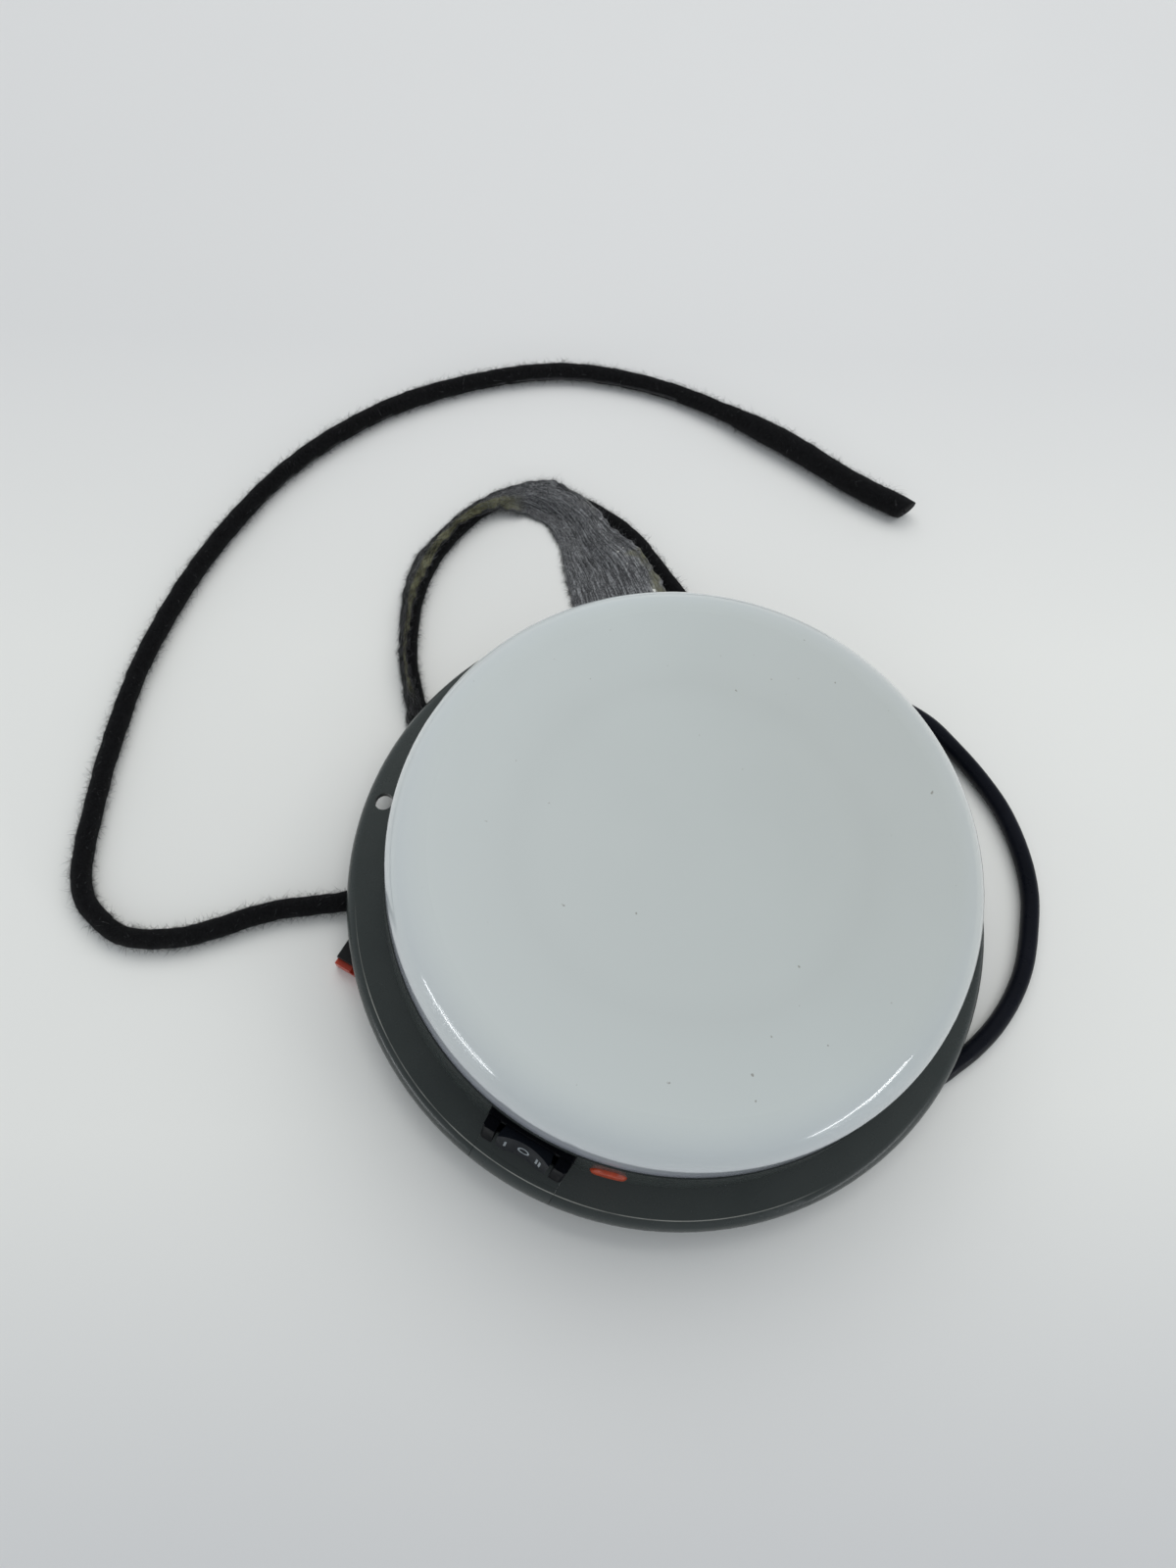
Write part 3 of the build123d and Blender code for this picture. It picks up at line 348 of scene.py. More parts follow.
def moulded(name, low, high, roughness, grain=900, depth=0.012, specular=0.5, edge=0.12):
    """Moulded plastic: faint colour drift, uneven gloss and a fine grain."""
    s = Shader(name)
    s.soften(edge)
    drift = s.noise(35, 3)
    s.set("Base Color", s.ramp(drift, [(0.3, low), (0.7, high)]))
    s.set("Roughness", s.grey(s.noise(160, 5), roughness[0], roughness[1]))
    s.set("Specular IOR Level", specular)
    s.bump(s.noise(grain, 4), depth, 0.5)
    return s.material


def metal(name, low, high, roughness):
    """Metal with faint scratches that all run one way."""
    s = Shader(name)
    s.soften(0.06)
    s.set("Metallic", 1.0)
    s.set("Base Color", s.ramp(s.noise(120, 4), [(0.3, low), (0.7, high)]))
    s.set("Roughness", s.grey(s.noise(400, 6), roughness[0], roughness[1]))
    s.bump(s.noise(2600, 2, stretch=(1, 0.15, 1)), 0.01, 0.4)
    return s.material


# ---------------------------------------------------------------- materials
def radius_field(s):
    """Distance from the lamp's axis, metres, and height above the mounting face."""
    xyz = s.tree.nodes.new("ShaderNodeSeparateXYZ")
    s.link(s.coords, xyz.inputs[0])
    squares = s.math("ADD", s.math("POWER", xyz.outputs[0], 2.0), s.math("POWER", xyz.outputs[1], 2.0))
    return s.math("SQRT", squares), xyz


def opal_material():
    """Glossy milky opal plastic with painted light and shade: darker in the middle, lighter towards one
    side, bluish and then dark down its edge.
    """
    s = Shader("opal_plastic")
    radius, xyz = radius_field(s)
    wobble = s.math("MULTIPLY", s.math("SUBTRACT", s.noise(14, 2), 0.5), 0.10)
    share = s.math("ADD", s.math("DIVIDE", radius, LENS_R * MM), wobble)
    # Painted shade and light: darker in the middle, where the parts inside shade the opal, with a faint
    # ring, and lighter and bluish towards the rim.
    face = s.ramp(share, [
        (0.0, (0.525, 0.560, 0.545)), (0.48, (0.532, 0.568, 0.553)), (0.57, (0.522, 0.557, 0.543)),
        (0.66, (0.536, 0.574, 0.560)), (0.86, (0.550, 0.592, 0.580)), (1.0, (0.590, 0.635, 0.645))])
    above = s.math("SUBTRACT", xyz.outputs[2], LENS_FOOT * MM)
    height = s.math("DIVIDE", above, (LENS_TOP - LENS_FOOT) * MM)
    # Painted light: lighter on the side towards the lower left. Painted shade: darker on the opposite
    # side.
    leftward = s.over_disc(xyz, (-0.64, -0.77), LENS_R)
    face = s.mix(s.grey(leftward, 0.0, 0.4, 0.35, 0.95), face, (0.66, 0.685, 0.675))
    face = s.mix(s.grey(leftward, 0.5, 0.0, 0.05, 0.45), face, (0.46, 0.475, 0.455))
    # Painted light: the side of the lens lighter and bluish. Painted shade: darker at its foot, over the
    # dark base.
    body = s.mix(s.grey(height, 1.0, 0.0, 0.0, 0.62), face, (0.58, 0.605, 0.69))
    body = s.mix(s.grey(height, 0.85, 0.0, 0.0, 0.22), body, (0.20, 0.21, 0.24))
    # Painted shade: a darker band low on the side, left out towards the switch.
    shaded = s.grey(height, 0.6, 0.0, 0.24, 0.40)
    past_switch = s.grey(s.over_disc(xyz, (0, 1), LENS_R), 0.0, 1.0, 0.10, 0.30)
    body = s.mix(s.math("MULTIPLY", shaded, past_switch), body, (0.27, 0.29, 0.30))
    specks = s.grey(s.noise(420, 2, 0.4), 0.7, 0.0, 0.19, 0.22)
    body = s.mix(specks, body, (0.24, 0.23, 0.20))
    s.set("Base Color", body)
    s.set("Roughness", s.grey(s.noise(60, 6, 0.7), 0.08, 0.17))
    s.set("Coat Weight", 0.5)
    s.set("Coat Roughness", 0.04)
    s.bump(s.noise(9, 2), 0.25, 0.12)
    s.bump(s.noise(700, 3), 0.006, 0.3)
    return s.material


def base_material():
    """Dark grey-green moulding with a soft gloss, fine orange peel and a painted highlight along its
    crisp edge.
    """
    s = Shader("base_grey")
    cloud = s.noise(28, 4)
    body = s.ramp(cloud, [(0.3, (0.036, 0.043, 0.041)), (0.7, (0.046, 0.053, 0.050))])
    radius, xyz = radius_field(s)
    # Painted highlight: a thin light line along the crisp edge, broken up by noise and shown only
    # towards the switch side.
    from_edge = s.math("ABSOLUTE", s.math("SUBTRACT", radius, FLANGE_EDGE_R * MM))
    line = s.grey(s.math("DIVIDE", from_edge, MM), 1.0, 0.0, 0.05, 0.17)
    high = s.math("GREATER_THAN", xyz.outputs[2], FLANGE_EDGE_LOW * MM)
    highlight_breakup = s.grey(s.noise(45, 4), 0.15, 1.0, 0.35, 0.55)
    towards_switch = s.math("DIVIDE", xyz.outputs[1], -FLANGE_EDGE_R * MM)
    switch_side = s.grey(towards_switch, 0.0, 1.0, 0.55, 0.80)
    painted_edge_highlight = s.math("MULTIPLY", s.math("MULTIPLY", line, high), s.math("MULTIPLY", highlight_breakup, switch_side))
    s.set("Base Color", s.mix(painted_edge_highlight, body, (0.34, 0.34, 0.31)))
    smear = s.noise(70, 6, 0.7, (1, 1, 3))
    s.set("Roughness", s.grey(smear, 0.20, 0.34, 0.3, 0.7))
    s.set("Specular IOR Level", 0.4)
    s.bump(s.noise(1100, 3), 0.006, 0.35)
    s.bump(s.noise(130, 2), 0.02, 0.15)
    return s.material


def fleece_material(name, low, high, sheen):
    """Matt felted fibres with a faint sheen."""
    s = Shader(name, 0.95)
    streak = s.noise(900, 6, 0.7, (1, 1, 0.5))
    s.set("Base Color", s.ramp(streak, [(0.3, low), (0.72, high)]))
    s.set("Sheen Weight", sheen)
    s.set("Sheen Roughness", 0.6)
    s.set("Specular IOR Level", 0.15)
    s.bump(s.noise(420, 3, 0.6), 0.35, 0.6)
    s.bump(s.noise(1500, 5, 0.7), 0.25, 0.9)
    return s.material


def unwound_material():
    """Underside of the fleece tape: grey felted fibres along it, olive adhesive, pale crumbs."""
    s = Shader("fleece_underside", 0.85)
    uv = s.tree.nodes.new("ShaderNodeUVMap")
    uv.uv_map = "tape"
    split = s.tree.nodes.new("ShaderNodeSeparateXYZ")
    s.link(uv.outputs[0], split.inputs[0])
    across = split.outputs[0]
    along = split.outputs[1]
    strands = s.noise(1.0, 8, 0.75, (48, 20, 1), uv.outputs[0])
    grain = s.math("MULTIPLY", s.math("SUBTRACT", s.noise(1300, 3, 0.6), 0.5), 0.35)
    strands = s.math("ADD", strands, grain)
    patches = s.noise(90, 4, 0.6)
    grey = s.ramp(strands, [
        (0.32, (0.012, 0.012, 0.014)), (0.48, (0.075, 0.076, 0.08)), (0.70, (0.42, 0.43, 0.44))])
    matted = s.ramp(strands, [
        (0.36, (0.006, 0.006, 0.007)), (0.55, (0.020, 0.020, 0.021)), (0.78, (0.13, 0.13, 0.13))])
    wander = s.math("MULTIPLY", s.math("SUBTRACT", patches, 0.5), 0.9)
    shifted = s.math("ADD", across, wander)
    flap = s.grey(along, 0.0, 1.0, 0.60, 0.66)
    strip = s.ramp(shifted, [(0.02, (0, 0, 0)), (0.10, (1, 1, 1)), (0.34, (1, 1, 1)), (0.52, (0, 0, 0))])
    smear = s.grey(shifted, 0.0, 0.8, 0.84, 1.0)
    smear = s.math("MULTIPLY", smear, s.grey(along, 0.1, 1.0, 0.78, 0.88))
    smear = s.math("MULTIPLY", smear, s.grey(s.noise(120, 3), 0.0, 1.0, 0.42, 0.56))
    glue = s.ramp(s.noise(160, 3, 0.6), [
        (0.35, (0.10, 0.10, 0.05)), (0.55, (0.21, 0.205, 0.11)), (0.72, (0.36, 0.36, 0.22))])
    body = s.mix(s.mix(flap, strip, smear), s.mix(flap, matted, grey), glue)
    edge_share = s.math("ADD", across, s.math("MULTIPLY", wander, 0.6))
    black_edge = s.grey(edge_share, 0.0, 1.0, 0.80, 0.97)
    black_share = s.mix(flap, black_edge, (0, 0, 0))
    body = s.mix(black_share, body, (0.006, 0.006, 0.007))
    start = s.grey(along, 1.0, 0.0, 0.05, 0.12)
    body = s.mix(start, body, (0.006, 0.006, 0.007))
    crumbs = s.grey(s.noise(330, 2, 0.3), 0.0, 1.0, 0.70, 0.72)
    outer_part = s.grey(across, 0.0, 1.0, 0.70, 0.76)
    on_flap = s.mix(flap, (0, 0, 0), outer_part)
    s.set("Base Color", s.mix(s.mix(on_flap, (0, 0, 0), crumbs), body, (0.7, 0.7, 0.66)))
    s.set("Sheen Weight", 0.25)
    s.bump(strands, 0.5, 0.8)
    return s.material


def rubber_material():
    """Smooth black sheath with a satin gloss."""
    s = Shader("cable_sheath")
    tint = s.ramp(s.noise(40, 3), [(0.3, (0.004, 0.005, 0.008)), (0.7, (0.008, 0.009, 0.014))])
    s.set("Base Color", tint)
    s.set("Roughness", s.grey(s.noise(300, 5), 0.24, 0.40))
    s.set("Specular IOR Level", 0.16)
    s.bump(s.noise(240, 3), 0.03, 0.3)
    return s.material


def pilot_material():
    """Red-orange plastic with a faint painted glow, which stands in for light let through it."""
    s = Shader("pilot_red")
    s.soften(0.2)
    tint = s.ramp(s.noise(420, 5), [(0.3, (0.34, 0.035, 0.010)), (0.7, (0.48, 0.060, 0.016))])
    s.set("Base Color", tint)
    s.set("Roughness", s.grey(s.noise(500, 4), 0.25, 0.42))
    # Painted glow: emission standing in for light let through the plastic.
    s.set("Emission Color", (0.5, 0.06, 0.01))
    s.set("Emission Strength", 0.04)
    s.bump(s.noise(1200, 3), 0.03, 0.5)
    return s.material


def phosphor_material():
    """Yellow phosphor of the unlit LEDs."""
    s = Shader("led_phosphor")
    s.set("Base Color", s.ramp(s.noise(900, 4), [(0.35, (0.75, 0.52, 0.08)), (0.7, (0.85, 0.65, 0.16))]))
    s.set("Roughness", s.grey(s.noise(1500, 3), 0.25, 0.4))
    s.bump(s.noise(2500, 3), 0.02, 0.5)
    return s.material


def wound_wire_material():
    """Enamelled copper turns, drawn by fine horizontal grooves."""
    s = Shader("copper_winding")
    s.set("Metallic", 0.9)
    wave = s.tree.nodes.new("ShaderNodeTexWave")
    wave.bands_direction = "Z"
    wave.inputs["Scale"].default_value = 620
    wave.inputs["Distortion"].default_value = 1.0
    s.link(s.coords, wave.inputs["Vector"])
    tint = s.ramp(wave.outputs["Fac"], [(0.0, (0.18, 0.05, 0.015)), (1.0, (0.62, 0.24, 0.08))])
    s.set("Base Color", tint)
    s.set("Roughness", s.grey(s.noise(600, 3), 0.22, 0.38))
    s.bump(wave.outputs["Fac"], 0.12, 0.8)
    return s.material


MATERIALS = {
    "base_grey": base_material(),
    "opal": opal_material(),
    "seal_rubber": moulded("seal_rubber", (0.012, 0.012, 0.012), (0.022, 0.022, 0.022), (0.6, 0.8)),
    "reflector_white": moulded("reflector_white", (0.72, 0.73, 0.72), (0.80, 0.81, 0.79), (0.35, 0.5)),
    "board_white": moulded("solder_mask", (0.70, 0.71, 0.69), (0.78, 0.79, 0.77), (0.25, 0.38), 1800),
    "led_phosphor": phosphor_material(),
    "steel": metal("zinc_steel", (0.45, 0.46, 0.47), (0.62, 0.61, 0.58), (0.28, 0.45)),
    "ferrite": moulded("ferrite", (0.03, 0.03, 0.032), (0.06, 0.06, 0.062), (0.55, 0.75), 2200, 0.03),
    "copper": wound_wire_material(),
    "capacitor_sleeve": moulded(
        "capacitor_sleeve", (0.015, 0.02, 0.04), (0.022, 0.03, 0.055), (0.2, 0.3)),
    "chip_black": moulded(
        "chip_black", (0.015, 0.015, 0.016), (0.028, 0.028, 0.03), (0.5, 0.65), 3000, 0.02),
    "connector_white": moulded("natural_nylon", (0.62, 0.60, 0.53), (0.70, 0.68, 0.61), (0.35, 0.5)),
    "block_grey": moulded("block_grey", (0.20, 0.21, 0.22), (0.26, 0.27, 0.28), (0.4, 0.55)),
    "brass": metal("brass", (0.50, 0.34, 0.12), (0.72, 0.52, 0.22), (0.22, 0.4)),
    "switch_black": moulded(
        "switch_black", (0.001, 0.0015, 0.0025), (0.002, 0.0025, 0.004), (0.4, 0.6), 1500, 0.02, 0.05),
    "rocker_black": moulded(
        "rocker_black", (0.003, 0.004, 0.007), (0.005, 0.007, 0.011), (0.34, 0.5), 1800, 0.015, 0.09),
    "mark_white": moulded("mark_white", (0.20, 0.23, 0.25), (0.28, 0.31, 0.33), (0.4, 0.6)),
    "pilot_red": pilot_material(),
    "wire_insulation": moulded(
        "wire_black", (0.012, 0.012, 0.013), (0.02, 0.02, 0.022), (0.30, 0.45), 500, 0.01, edge=0.02),
    "fleece_tape": fleece_material(
        "fleece_black", (0.0015, 0.0015, 0.0018), (0.008, 0.008, 0.009), 0.04),
    "fleece_inner": unwound_material(),
    "cable_rubber": rubber_material(),
    "plug_black": moulded("plug_black", (0.004, 0.004, 0.004), (0.010, 0.010, 0.010), (0.35, 0.5)),
    "lock_red": moulded("lock_red", (0.33, 0.022, 0.010), (0.45, 0.045, 0.018), (0.28, 0.42)),
    "nylon_tie": moulded("nylon_tie", (0.60, 0.60, 0.55), (0.70, 0.70, 0.65), (0.35, 0.5)),
}
FUZZ_BLACK = fleece_material("fuzz_black", (0.003, 0.003, 0.0035), (0.014, 0.014, 0.015), 0.03)
FUZZ_GREY = fleece_material("fuzz_grey", (0.06, 0.06, 0.062), (0.42, 0.43, 0.44), 0.2)


def dress_cad_nodes():
    """Gives every CAD node the material of its slot in the record."""
    slots = {part["node"]: part["material_slot"] for part in frame["record"]["subparts"]}
    for name, node in NODES.items():
        node.data.materials.clear()
        node.data.materials.append(MATERIALS[slots[name]])


# ---------------------------------------------------------------- cables
HARNESS = catmull(HARNESS_ROUTE, 1.0)


def nearest_index(centres, point):
    target = Vector(point)
    return min(range(len(centres)), key=lambda index: (centres[index].xy - target).length)


LOOP_FROM = nearest_index(HARNESS, LOOP_START)
LOOP_TOP = nearest_index(HARNESS, LOOP_APEX)
LOOP_TO = nearest_index(HARNESS, LOOP_END)


def bared(index):
    """0 where the bundle is fully taped, 1 where its tape has opened out."""
    opening = (index - LOOP_FROM) / OPENING_LENGTH
    closing = (LOOP_TO - index) / (LOOP_TO - LOOP_TOP)
    return ease(min(opening, closing))


def settle_bare_stretch():
    """Moves the slimmer stretch inward and down on to the table."""
    for index in range(LOOP_FROM, LOOP_TO):
        share = bared(index)
        point = HARNESS[index]
        inward = LOOP_MIDDLE - Vector((point.x, point.y, 0))
        down = Vector((0, 0, SLIMMING * HARNESS_R * share))
        HARNESS[index] = point + inward.normalized() * (LOOP_SHIFT * share) - down


settle_bare_stretch()


def harness_radius(index, angle):
    """Taped bundle: overlap ridge along a helix, lumps, and the thicker last stretch."""
    thick = ease((THICK_LENGTH - index) / THICK_BLEND)
    r = HARNESS_R + (HARNESS_THICK_R - HARNESS_R) * thick
    turn = (angle / math.tau + index / TAPE_PITCH) % 1.0
    r += TAPE_STEP * (turn - 0.5) * (1.0 - 0.4 * thick)
    lump = noise.noise(Vector((index * 0.045, math.cos(angle) * 0.9, math.sin(angle) * 0.9)))
    fine = noise.noise(Vector((index * 0.5, math.cos(angle) * 3, math.sin(angle) * 3)))
    r *= 1.0 + 0.07 * lump + 0.02 * fine
    r *= 1.0 - SLIMMING * bared(index)
    in_grommet = index > len(HARNESS) - GROMMET_LENGTH
    return min(r, HARNESS_R) if in_grommet else r


def build_harness():
    """The taped bundle; its first rings lean and are pinched, less and less from the cut end."""
    piece = tube("harness_taped", HARNESS, HARNESS_SEGMENTS, harness_radius, MATERIALS["fleece_tape"])
    for index in range(CUT_RINGS * HARNESS_SEGMENTS):
        vertex = piece.data.vertices[index]
        share = 1 - (index // HARNESS_SEGMENTS) / CUT_RINGS
        offset = vertex.co.y - HARNESS[0].y * MM
        vertex.co.x += CUT_SLANT * offset * share
        vertex.co.z -= CUT_PINCH * (vertex.co.z - HARNESS[0].z * MM) * share
    place(piece, "fleece_tape", "harness_tape", "harness_overwrap")


def harness_hairs(per_mm, longest, rng):
    """Roots of hairs that lean along the harness and curl away from it, up to its hidden end."""
    frames = rings(HARNESS)
    roots = []
    for index in range(CUT_RINGS, len(HARNESS) - HIDDEN_LENGTH):
        centre, tangent, side, up = frames[index]
        count = int(per_mm) + (rng.random() < per_mm % 1)
        for _ in range(count):
            angle = rng.uniform(0, math.tau)
            out = side * math.cos(angle) + up * math.sin(angle)
            root_radius = harness_radius(index, angle) - HAIR_DEPTH
            point = centre + tangent * rng.random() + out * root_radius
            around_it = out.cross(tangent) * rng.uniform(-0.8, 0.8)
            direction = out * rng.uniform(0.3, 1.0) + tangent * rng.uniform(-1, 1) + around_it
            direction.normalize()
            bend = (tangent * rng.uniform(-1, 1) + around_it - out * rng.uniform(-0.1, 0.6)) * 0.8
            length = SHORTEST_HAIR + (longest - SHORTEST_HAIR) * rng.random() ** 2.2
            if (point + (direction + bend) * length).z > TABLE_Z + TABLE_GAP:
                roots.append((point, direction, bend, length))
    return roots


def build_harness_fuzz():
    """Black hairs all over the tape, and a few pale ones."""
    rng = random.Random(7)
    black = harness_hairs(BLACK_PER_MM, 3.2, rng)
    place(fibres("harness_fuzz", black, FUZZ_BLACK, 0.036), "fleece_tape")
    pale = harness_hairs(PALE_PER_MM, 2.4, rng)
    place(fibres("harness_lint", pale, FUZZ_GREY, 0.02), "fleece_tape")


def build_round_cable():
    centres = catmull(SHEATH_ROUTE, 1.5)

    def radius(index, angle):
        ripple = noise.noise(Vector((index * 0.08, math.cos(angle), math.sin(angle))))
        return SHEATH_R * (1 + 0.012 * ripple)

    piece = tube("round_cable", centres, SHEATH_SEGMENTS, radius, MATERIALS["cable_rubber"])
    place(piece, "cable_rubber", "round_cable_sheath")


# ---------------------------------------------------------------- unwound tape
BAND_STEPS = 22             # squares across the tape
ROWS_PER_STATION = 10       # rows between two points of its edge lines
BAND_THICKNESS = 0.7
OVER_BUNDLE = -2.3          # height of the tape where it starts over the bundle
CROWN = 1.0                 # how far its arch rises from there
FLAP_LOW = -7.2             # height of the flap where it lies on the table
FLAP_RISE = 4.2             # how far the flap climbs on to the bundle
FLAP_FROM = 15              # station where the tape leaves the bundle and lies flat as a flap
FLAP_BEFORE = 3             # it starts to come down this many stations earlier
FLAP_BLEND = 5.0            # and is down after this many
LYING_HAIRS = 9000
FRINGE_HAIRS = 4200
DARK_ROWS = 135             # before this row the tape is matted, and most of its hairs are black
END_ROWS = 6                # rows without hairs at each end


def edge_line(points):
    """Smooth curve through the points of one edge, with as many rows between any two of them."""
    route = lengthened([(x, y, 0) for x, y in points])
    result = []
    for a, b, c, d in zip(route, route[1:], route[2:], route[3:]):
        for step in range(ROWS_PER_STATION):
            result.append(on_curve(a, b, c, d, step / ROWS_PER_STATION))
    result.append(route[-2])
    return result


def band_height(across, flap, station):
    """Height of the tape: an arch over the bundle, or a flap that lies down to the table."""
    arch = OVER_BUNDLE + CROWN * math.sin(math.pi * min(across / 0.7, 1.0))
    arch -= 8.2 * max(across - 0.35, 0.0) ** 1.6
    rise_from = 0.08 + 0.34 * min(max((station - FLAP_FROM) / 3.5, 0.0), 1.0)
    flat = FLAP_LOW + 1.2 * across + FLAP_RISE * ease((across - rise_from) / 0.30)
    return arch + (flat - arch) * flap


def band_grid():
    """Rows of points across the tape, from one edge line to the other, with ragged edges and rucks."""
    inner = edge_line(BAND_INNER)
    outer = edge_line(BAND_OUTER)
    rows = []
    for index, (a, b) in enumerate(zip(inner, outer)):
        station = index / ROWS_PER_STATION
        flap = ease((station - FLAP_FROM + FLAP_BEFORE) / FLAP_BLEND)
        a = a.lerp(b, 0.15 * (1 - flap))
        row = []
        for step in range(BAND_STEPS + 1):
            across = step / BAND_STEPS
            point = a.lerp(b, across)
            ragged = noise.noise(Vector((point.x * 0.35, point.y * 0.35, 3)))
            ragged *= 0.9 + 0.5 * flap * across
            edge = abs(across - 0.5) * 2
            point += (b - a).normalized() * ragged * edge ** 4 * (1 if across > 0.5 else -1)
            wave = noise.noise(Vector((point.x * 0.12, point.y * 0.12, 9)))
            ruck = noise.noise(Vector((point.x * 0.5, point.y * 0.5, 5)))
            height = band_height(across, flap, station) + 0.45 * wave + 0.25 * ruck
            point.z = max(height, TABLE_Z + BAND_THICKNESS)
            row.append(point)
        rows.append(row)
    return rows


def sheet_faces(row_count):
    """Faces of the tape's top, its underside and the strip round its border."""
    wide = BAND_STEPS + 1
    total = row_count * wide
    faces = []
    for r in range(row_count - 1):
        for c in range(BAND_STEPS):
            a = r * wide + c
            faces.append((a, a + wide, a + wide + 1, a + 1))
            faces.append((total + a, total + a + 1, total + a + wide + 1, total + a + wide))
    border = [r * wide for r in range(row_count)]
    border += [(row_count - 1) * wide + c for c in range(1, wide)]
    border += [r * wide + BAND_STEPS for r in range(row_count - 2, -1, -1)]
    border += list(range(BAND_STEPS - 1, 0, -1))
    for a, b in zip(border, border[1:] + border[:1]):
        faces.append((a, total + a, total + b, b))
    return faces


def map_sheet(piece, rows):
    """UV map of the tape: across it from 0 to 1, and along it from 0 to 1."""
    wide = BAND_STEPS + 1
    middle = BAND_STEPS // 2
    along = [0.0]
    for before, after in zip(rows, rows[1:]):
        along.append(along[-1] + (after[middle] - before[middle]).length)
    uv = piece.data.uv_layers.new(name="tape")
    for corner in piece.data.loops:
        vertex = corner.vertex_index % (len(rows) * wide)
        uv.data[corner.index].uv = ((vertex % wide) / BAND_STEPS, along[vertex // wide] / along[-1])


def build_band():
    rows = band_grid()
    top = [point for row in rows for point in row]
    low = [point - Vector((0, 0, BAND_THICKNESS)) for point in top]
    piece = make_object("unwound_tape", top + low, sheet_faces(len(rows)), MATERIALS["fleece_inner"])
    map_sheet(piece, rows)
    place(piece, "fleece_tape", "loose_tape")
    return rows


def along_tape(rows, r, c):
    """Unit direction along the tape at one of its points."""
    return (rows[r + 5][c] - rows[r - 5][c]).normalized()


def lying_hair(rows, rng):
    """A hair that lies along the tape, and the share of such hairs that are black there."""
    r = rng.randrange(END_ROWS, len(rows) - END_ROWS)
    across = rng.random()
    c = min(int(across * BAND_STEPS), BAND_STEPS - 1)
    point = rows[r][c].lerp(rows[r][c + 1], rng.random()) + Vector((0, 0, 0.02))
    along = along_tape(rows, r, c)
    side = (rows[r][c + 1] - rows[r][c]).normalized()
    out = along.cross(side)
    out = out if out.z > 0 else -out
    direction = along * rng.choice((-1, 1)) + side * rng.uniform(-0.7, 0.7)
    direction += out * rng.uniform(0.02, 0.16)
    bend = side * rng.uniform(-0.6, 0.6) - out * rng.uniform(0.0, 0.12)
    black_share = 0.85 if across > 0.86 or r < DARK_ROWS else 0.3
    return (point, direction.normalized(), bend), black_share


def fringe_hair(rows, rng):
    """A hair that stands out from one of the tape's two edges."""
    r = rng.randrange(END_ROWS, len(rows) - END_ROWS)
    c = rng.choice((0, BAND_STEPS))
    point = rows[r][c] - Vector((0, 0, rng.uniform(0.1, 0.6)))
    side = (rows[r][BAND_STEPS] - rows[r][0]).normalized() * (1 if c else -1)
    along = along_tape(rows, r, c)
    direction = side + along * rng.uniform(-0.9, 0.9) + Vector((0, 0, rng.uniform(-0.1, 0.5)))
    direction.normalize()
    bend = along * rng.uniform(-0.5, 0.5)
    return point, direction, bend, SHORTEST_HAIR + 2.4 * rng.random() ** 2


def build_band_fuzz(rows):
    """Felted hairs that lie along the tape, and a fringe at both of its edges."""
    rng = random.Random(11)
    black = []
    pale = []
    for _ in range(LYING_HAIRS):
        hair, black_share = lying_hair(rows, rng)
        kind = black if rng.random() < black_share else pale
        kind.append((*hair, rng.uniform(0.8, 4.8)))
    for _ in range(FRINGE_HAIRS):
        point, direction, bend, length = fringe_hair(rows, rng)
        if (point + (direction + bend) * length).z > TABLE_Z + 0.1:
            kind = black if rng.random() < 0.7 else pale
            kind.append((point, direction, bend, length))
    place(fibres("tape_hairs_pale", pale, FUZZ_GREY, 0.024), "fleece_tape")
    place(fibres("tape_hairs_dark", black, FUZZ_BLACK, 0.026), "fleece_tape")


# ---------------------------------------------------------------- stage
CAMERA_POSITION = Vector((2.8, -108.3, 321.9)) * MM
CAMERA_FORWARD = Vector((-0.1178, 0.3625, -0.9245))
CAMERA_UP = Vector((-0.4823, 0.7929, 0.3724))
CAMERA_LENS = 25.74         # with the 36 mm sensor on the long side


def build_camera():
    camera = bpy.data.objects.new("camera", bpy.data.cameras.new("camera"))
    bpy.context.scene.collection.objects.link(camera)
    camera.data.lens = CAMERA_LENS
    camera.data.sensor_width = 36.0
    back = -CAMERA_FORWARD.normalized()
    right = CAMERA_UP.cross(back).normalized()
    up = back.cross(right)
    rotation = Matrix((right, up, back)).transposed()
    camera.matrix_world = Matrix.Translation(CAMERA_POSITION) @ rotation.to_4x4()
    camera.data.clip_start = 0.01
    camera.data.clip_end = 50.0
    bpy.context.scene.camera = camera


def floor_material():
    """Pale table with painted shade: darker in front, as under a person with a camera, and far behind.
    """
    s = Shader("pale_floor")
    xyz = s.tree.nodes.new("ShaderNodeSeparateXYZ")
    s.link(s.coords, xyz.inputs[0])
    rightward = s.math("MULTIPLY", xyz.outputs[0], 0.48)
    nearness = s.math("SUBTRACT", rightward, s.math("MULTIPLY", xyz.outputs[1], 0.79))
    # Painted shade: darker in front and far behind, lighter to the left and right.
    shade = s.ramp(s.math("ADD", s.math("MULTIPLY", nearness, 2.0), 0.5), [
        (0.10, (0.74, 0.74, 0.735)), (0.34, (0.85, 0.85, 0.82)),
        (0.62, (0.85, 0.85, 0.82)), (0.90, (0.61, 0.615, 0.63))])
    cloud = s.grey(s.noise(3.0, 3), 0.0, 0.08, 0.3, 0.7)
    s.set("Base Color", s.mix(cloud, shade, (0.60, 0.59, 0.56)))
    s.set("Roughness", s.grey(s.noise(12, 5), 0.40, 0.55))
    s.bump(s.noise(350, 3), 0.02, 0.2)
    return s.material


def build_floor():
    half = 3000.0
    outline = ((-half, -half), (half, -half), (half, half), (-half, half))
    corners = [(x, y, TABLE_Z - FLOOR_GAP) for x, y in outline]
    floor = make_object("floor", corners, [(0, 1, 2, 3)], floor_material(), smooth=False)


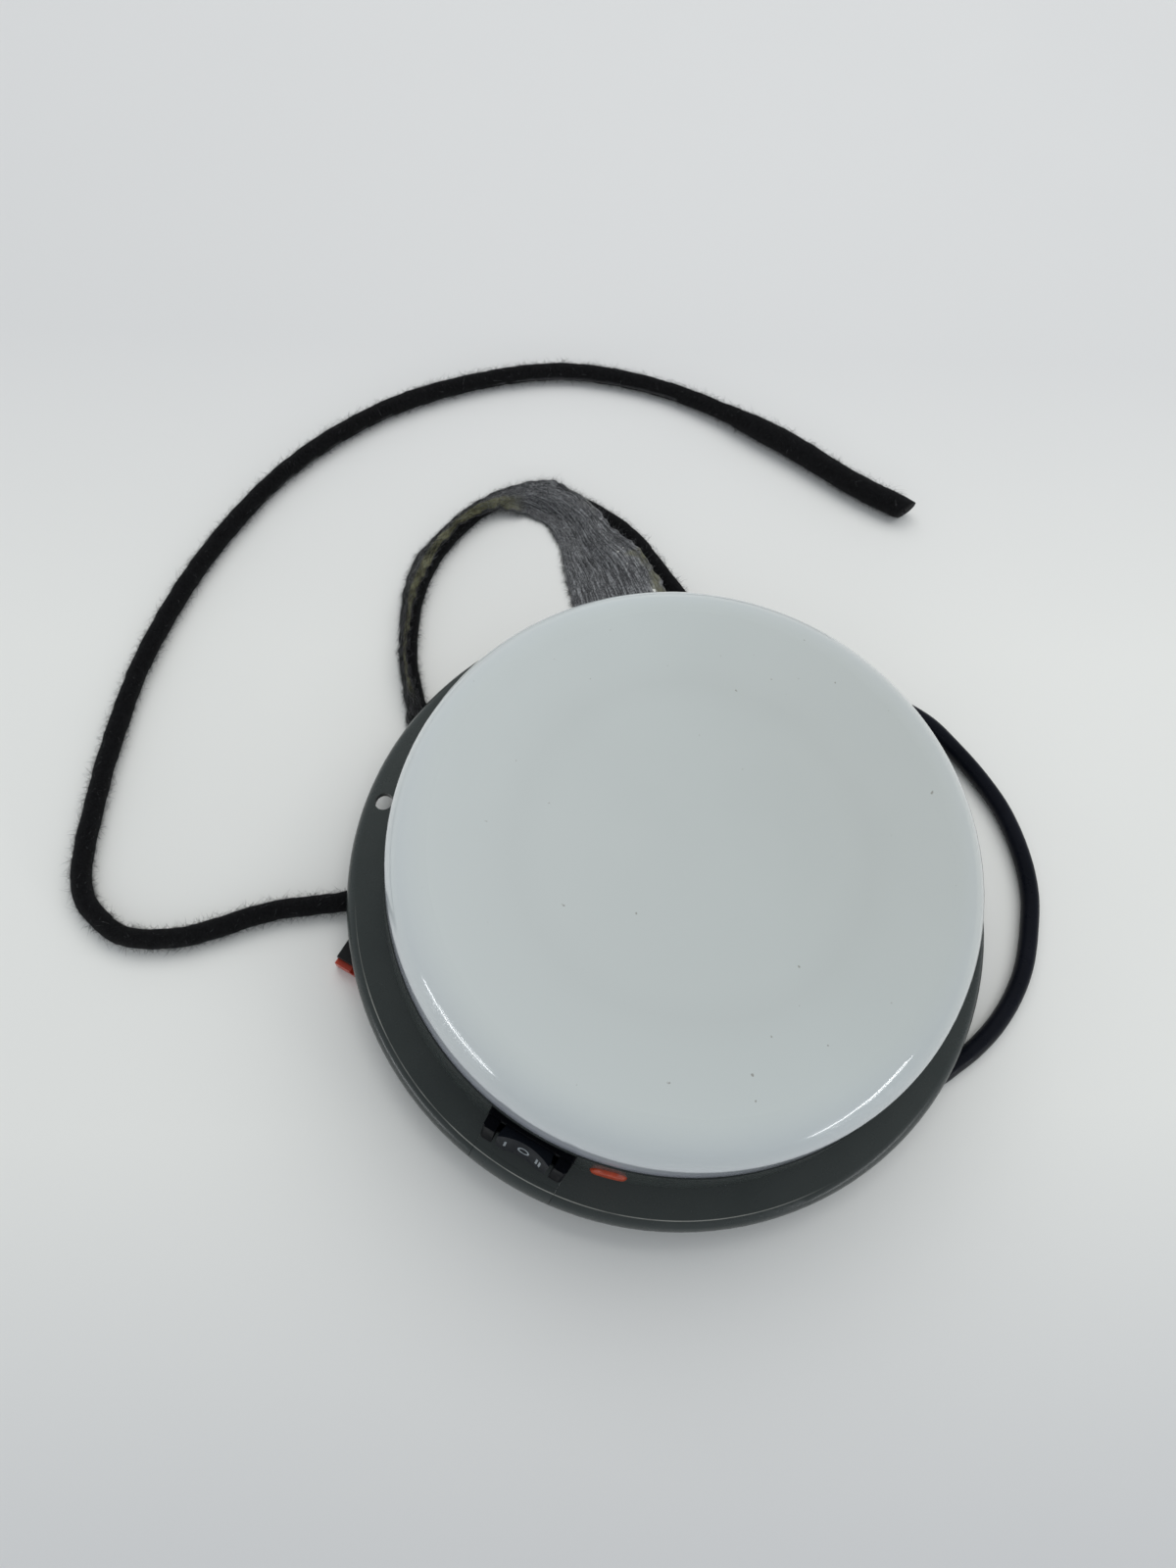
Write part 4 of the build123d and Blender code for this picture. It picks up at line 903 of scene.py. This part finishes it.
def area_light(name, position, target, size, power, colour, roll=0.0):
    """Rectangular lamp that shines at the target; size is (width, height) in metres."""
    data = bpy.data.lights.new(name, "AREA")
    data.shape = "RECTANGLE"
    data.size, data.size_y = size
    data.energy = power
    data.color = colour
    light = bpy.data.objects.new(name, data)
    light.location = Vector(position)
    direction = Vector(target) - light.location
    turn = direction.to_track_quat("-Z", "Y").to_matrix() @ Matrix.Rotation(math.radians(roll), 3, "Z")
    light.rotation_euler = turn.to_euler()
    light.visible_camera = False
    bpy.context.scene.collection.objects.link(light)
    return light


def around(azimuth, elevation, distance):
    """Position round the lamp, in degrees and metres."""
    turn = math.radians(azimuth)
    rise = math.radians(elevation)
    flat = distance * math.cos(rise)
    return (flat * math.cos(turn), flat * math.sin(turn), distance * math.sin(rise))


def build_world():
    """Pale room; mirrored from above it's dimmer, as under a person with a camera."""
    world = bpy.data.worlds.new("studio")
    bpy.context.scene.world = world
    world.use_nodes = True
    tree = world.node_tree
    output = tree.nodes["World Output"]
    room = tree.nodes["Background"]
    room.inputs["Color"].default_value = (0.90, 0.95, 1.0, 1)
    room.inputs["Strength"].default_value = 0.56
    mirrored = tree.nodes.new("ShaderNodeBackground")
    mirrored.inputs["Strength"].default_value = 1.0
    direction = tree.nodes.new("ShaderNodeTexCoord")
    height = tree.nodes.new("ShaderNodeSeparateXYZ")
    tree.links.new(direction.outputs["Generated"], height.inputs[0])
    ramp = tree.nodes.new("ShaderNodeValToRGB")
    ramp.color_ramp.elements[0].position = 0.0
    ramp.color_ramp.elements[0].color = (0.42, 0.45, 0.50, 1)
    ramp.color_ramp.elements[1].position = 0.9
    ramp.color_ramp.elements[1].color = (0.16, 0.17, 0.18, 1)
    tree.links.new(height.outputs[2], ramp.inputs[0])
    tree.links.new(ramp.outputs[0], mirrored.inputs["Color"])
    path = tree.nodes.new("ShaderNodeLightPath")
    mix = tree.nodes.new("ShaderNodeMixShader")
    tree.links.new(path.outputs["Is Glossy Ray"], mix.inputs[0])
    tree.links.new(room.outputs[0], mix.inputs[1])
    tree.links.new(mirrored.outputs[0], mix.inputs[2])
    tree.links.new(mix.outputs[0], output.inputs["Surface"])


def build_light():
    build_world()
    warm = (1.0, 0.99, 0.97)
    left = (0.96, 0.98, 1.0)
    right = (0.97, 0.99, 1.0)
    low = (0, -0.02, 0.03)
    lens = (0, 0, 0.03)
    overhead = area_light("overhead", (-0.20, 0.70, 1.10), (-0.05, 0.05, 0), (2.0, 0.9), 10, warm)
    overhead.visible_glossy = False
    area_light("window_left", around(-120, 5, 1.6), low, (0.80, 0.10), 2.6, left)
    area_light("window_left_pane", around(-117, 10, 1.6), low, (0.55, 0.03), 0.5, left)
    area_light("window_right", around(-12, 12, 1.5), lens, (0.90, 0.05), 2.0, right, 35)
    area_light("window_right_pane", around(-4, 14, 1.5), lens, (0.50, 0.025), 0.5, right, 35)
    bpy.context.scene.view_settings.view_transform = "Standard"


dress_cad_nodes()
build_harness()
build_harness_fuzz()
build_band_fuzz(build_band())
build_round_cable()
build_floor()
build_camera()
build_light()
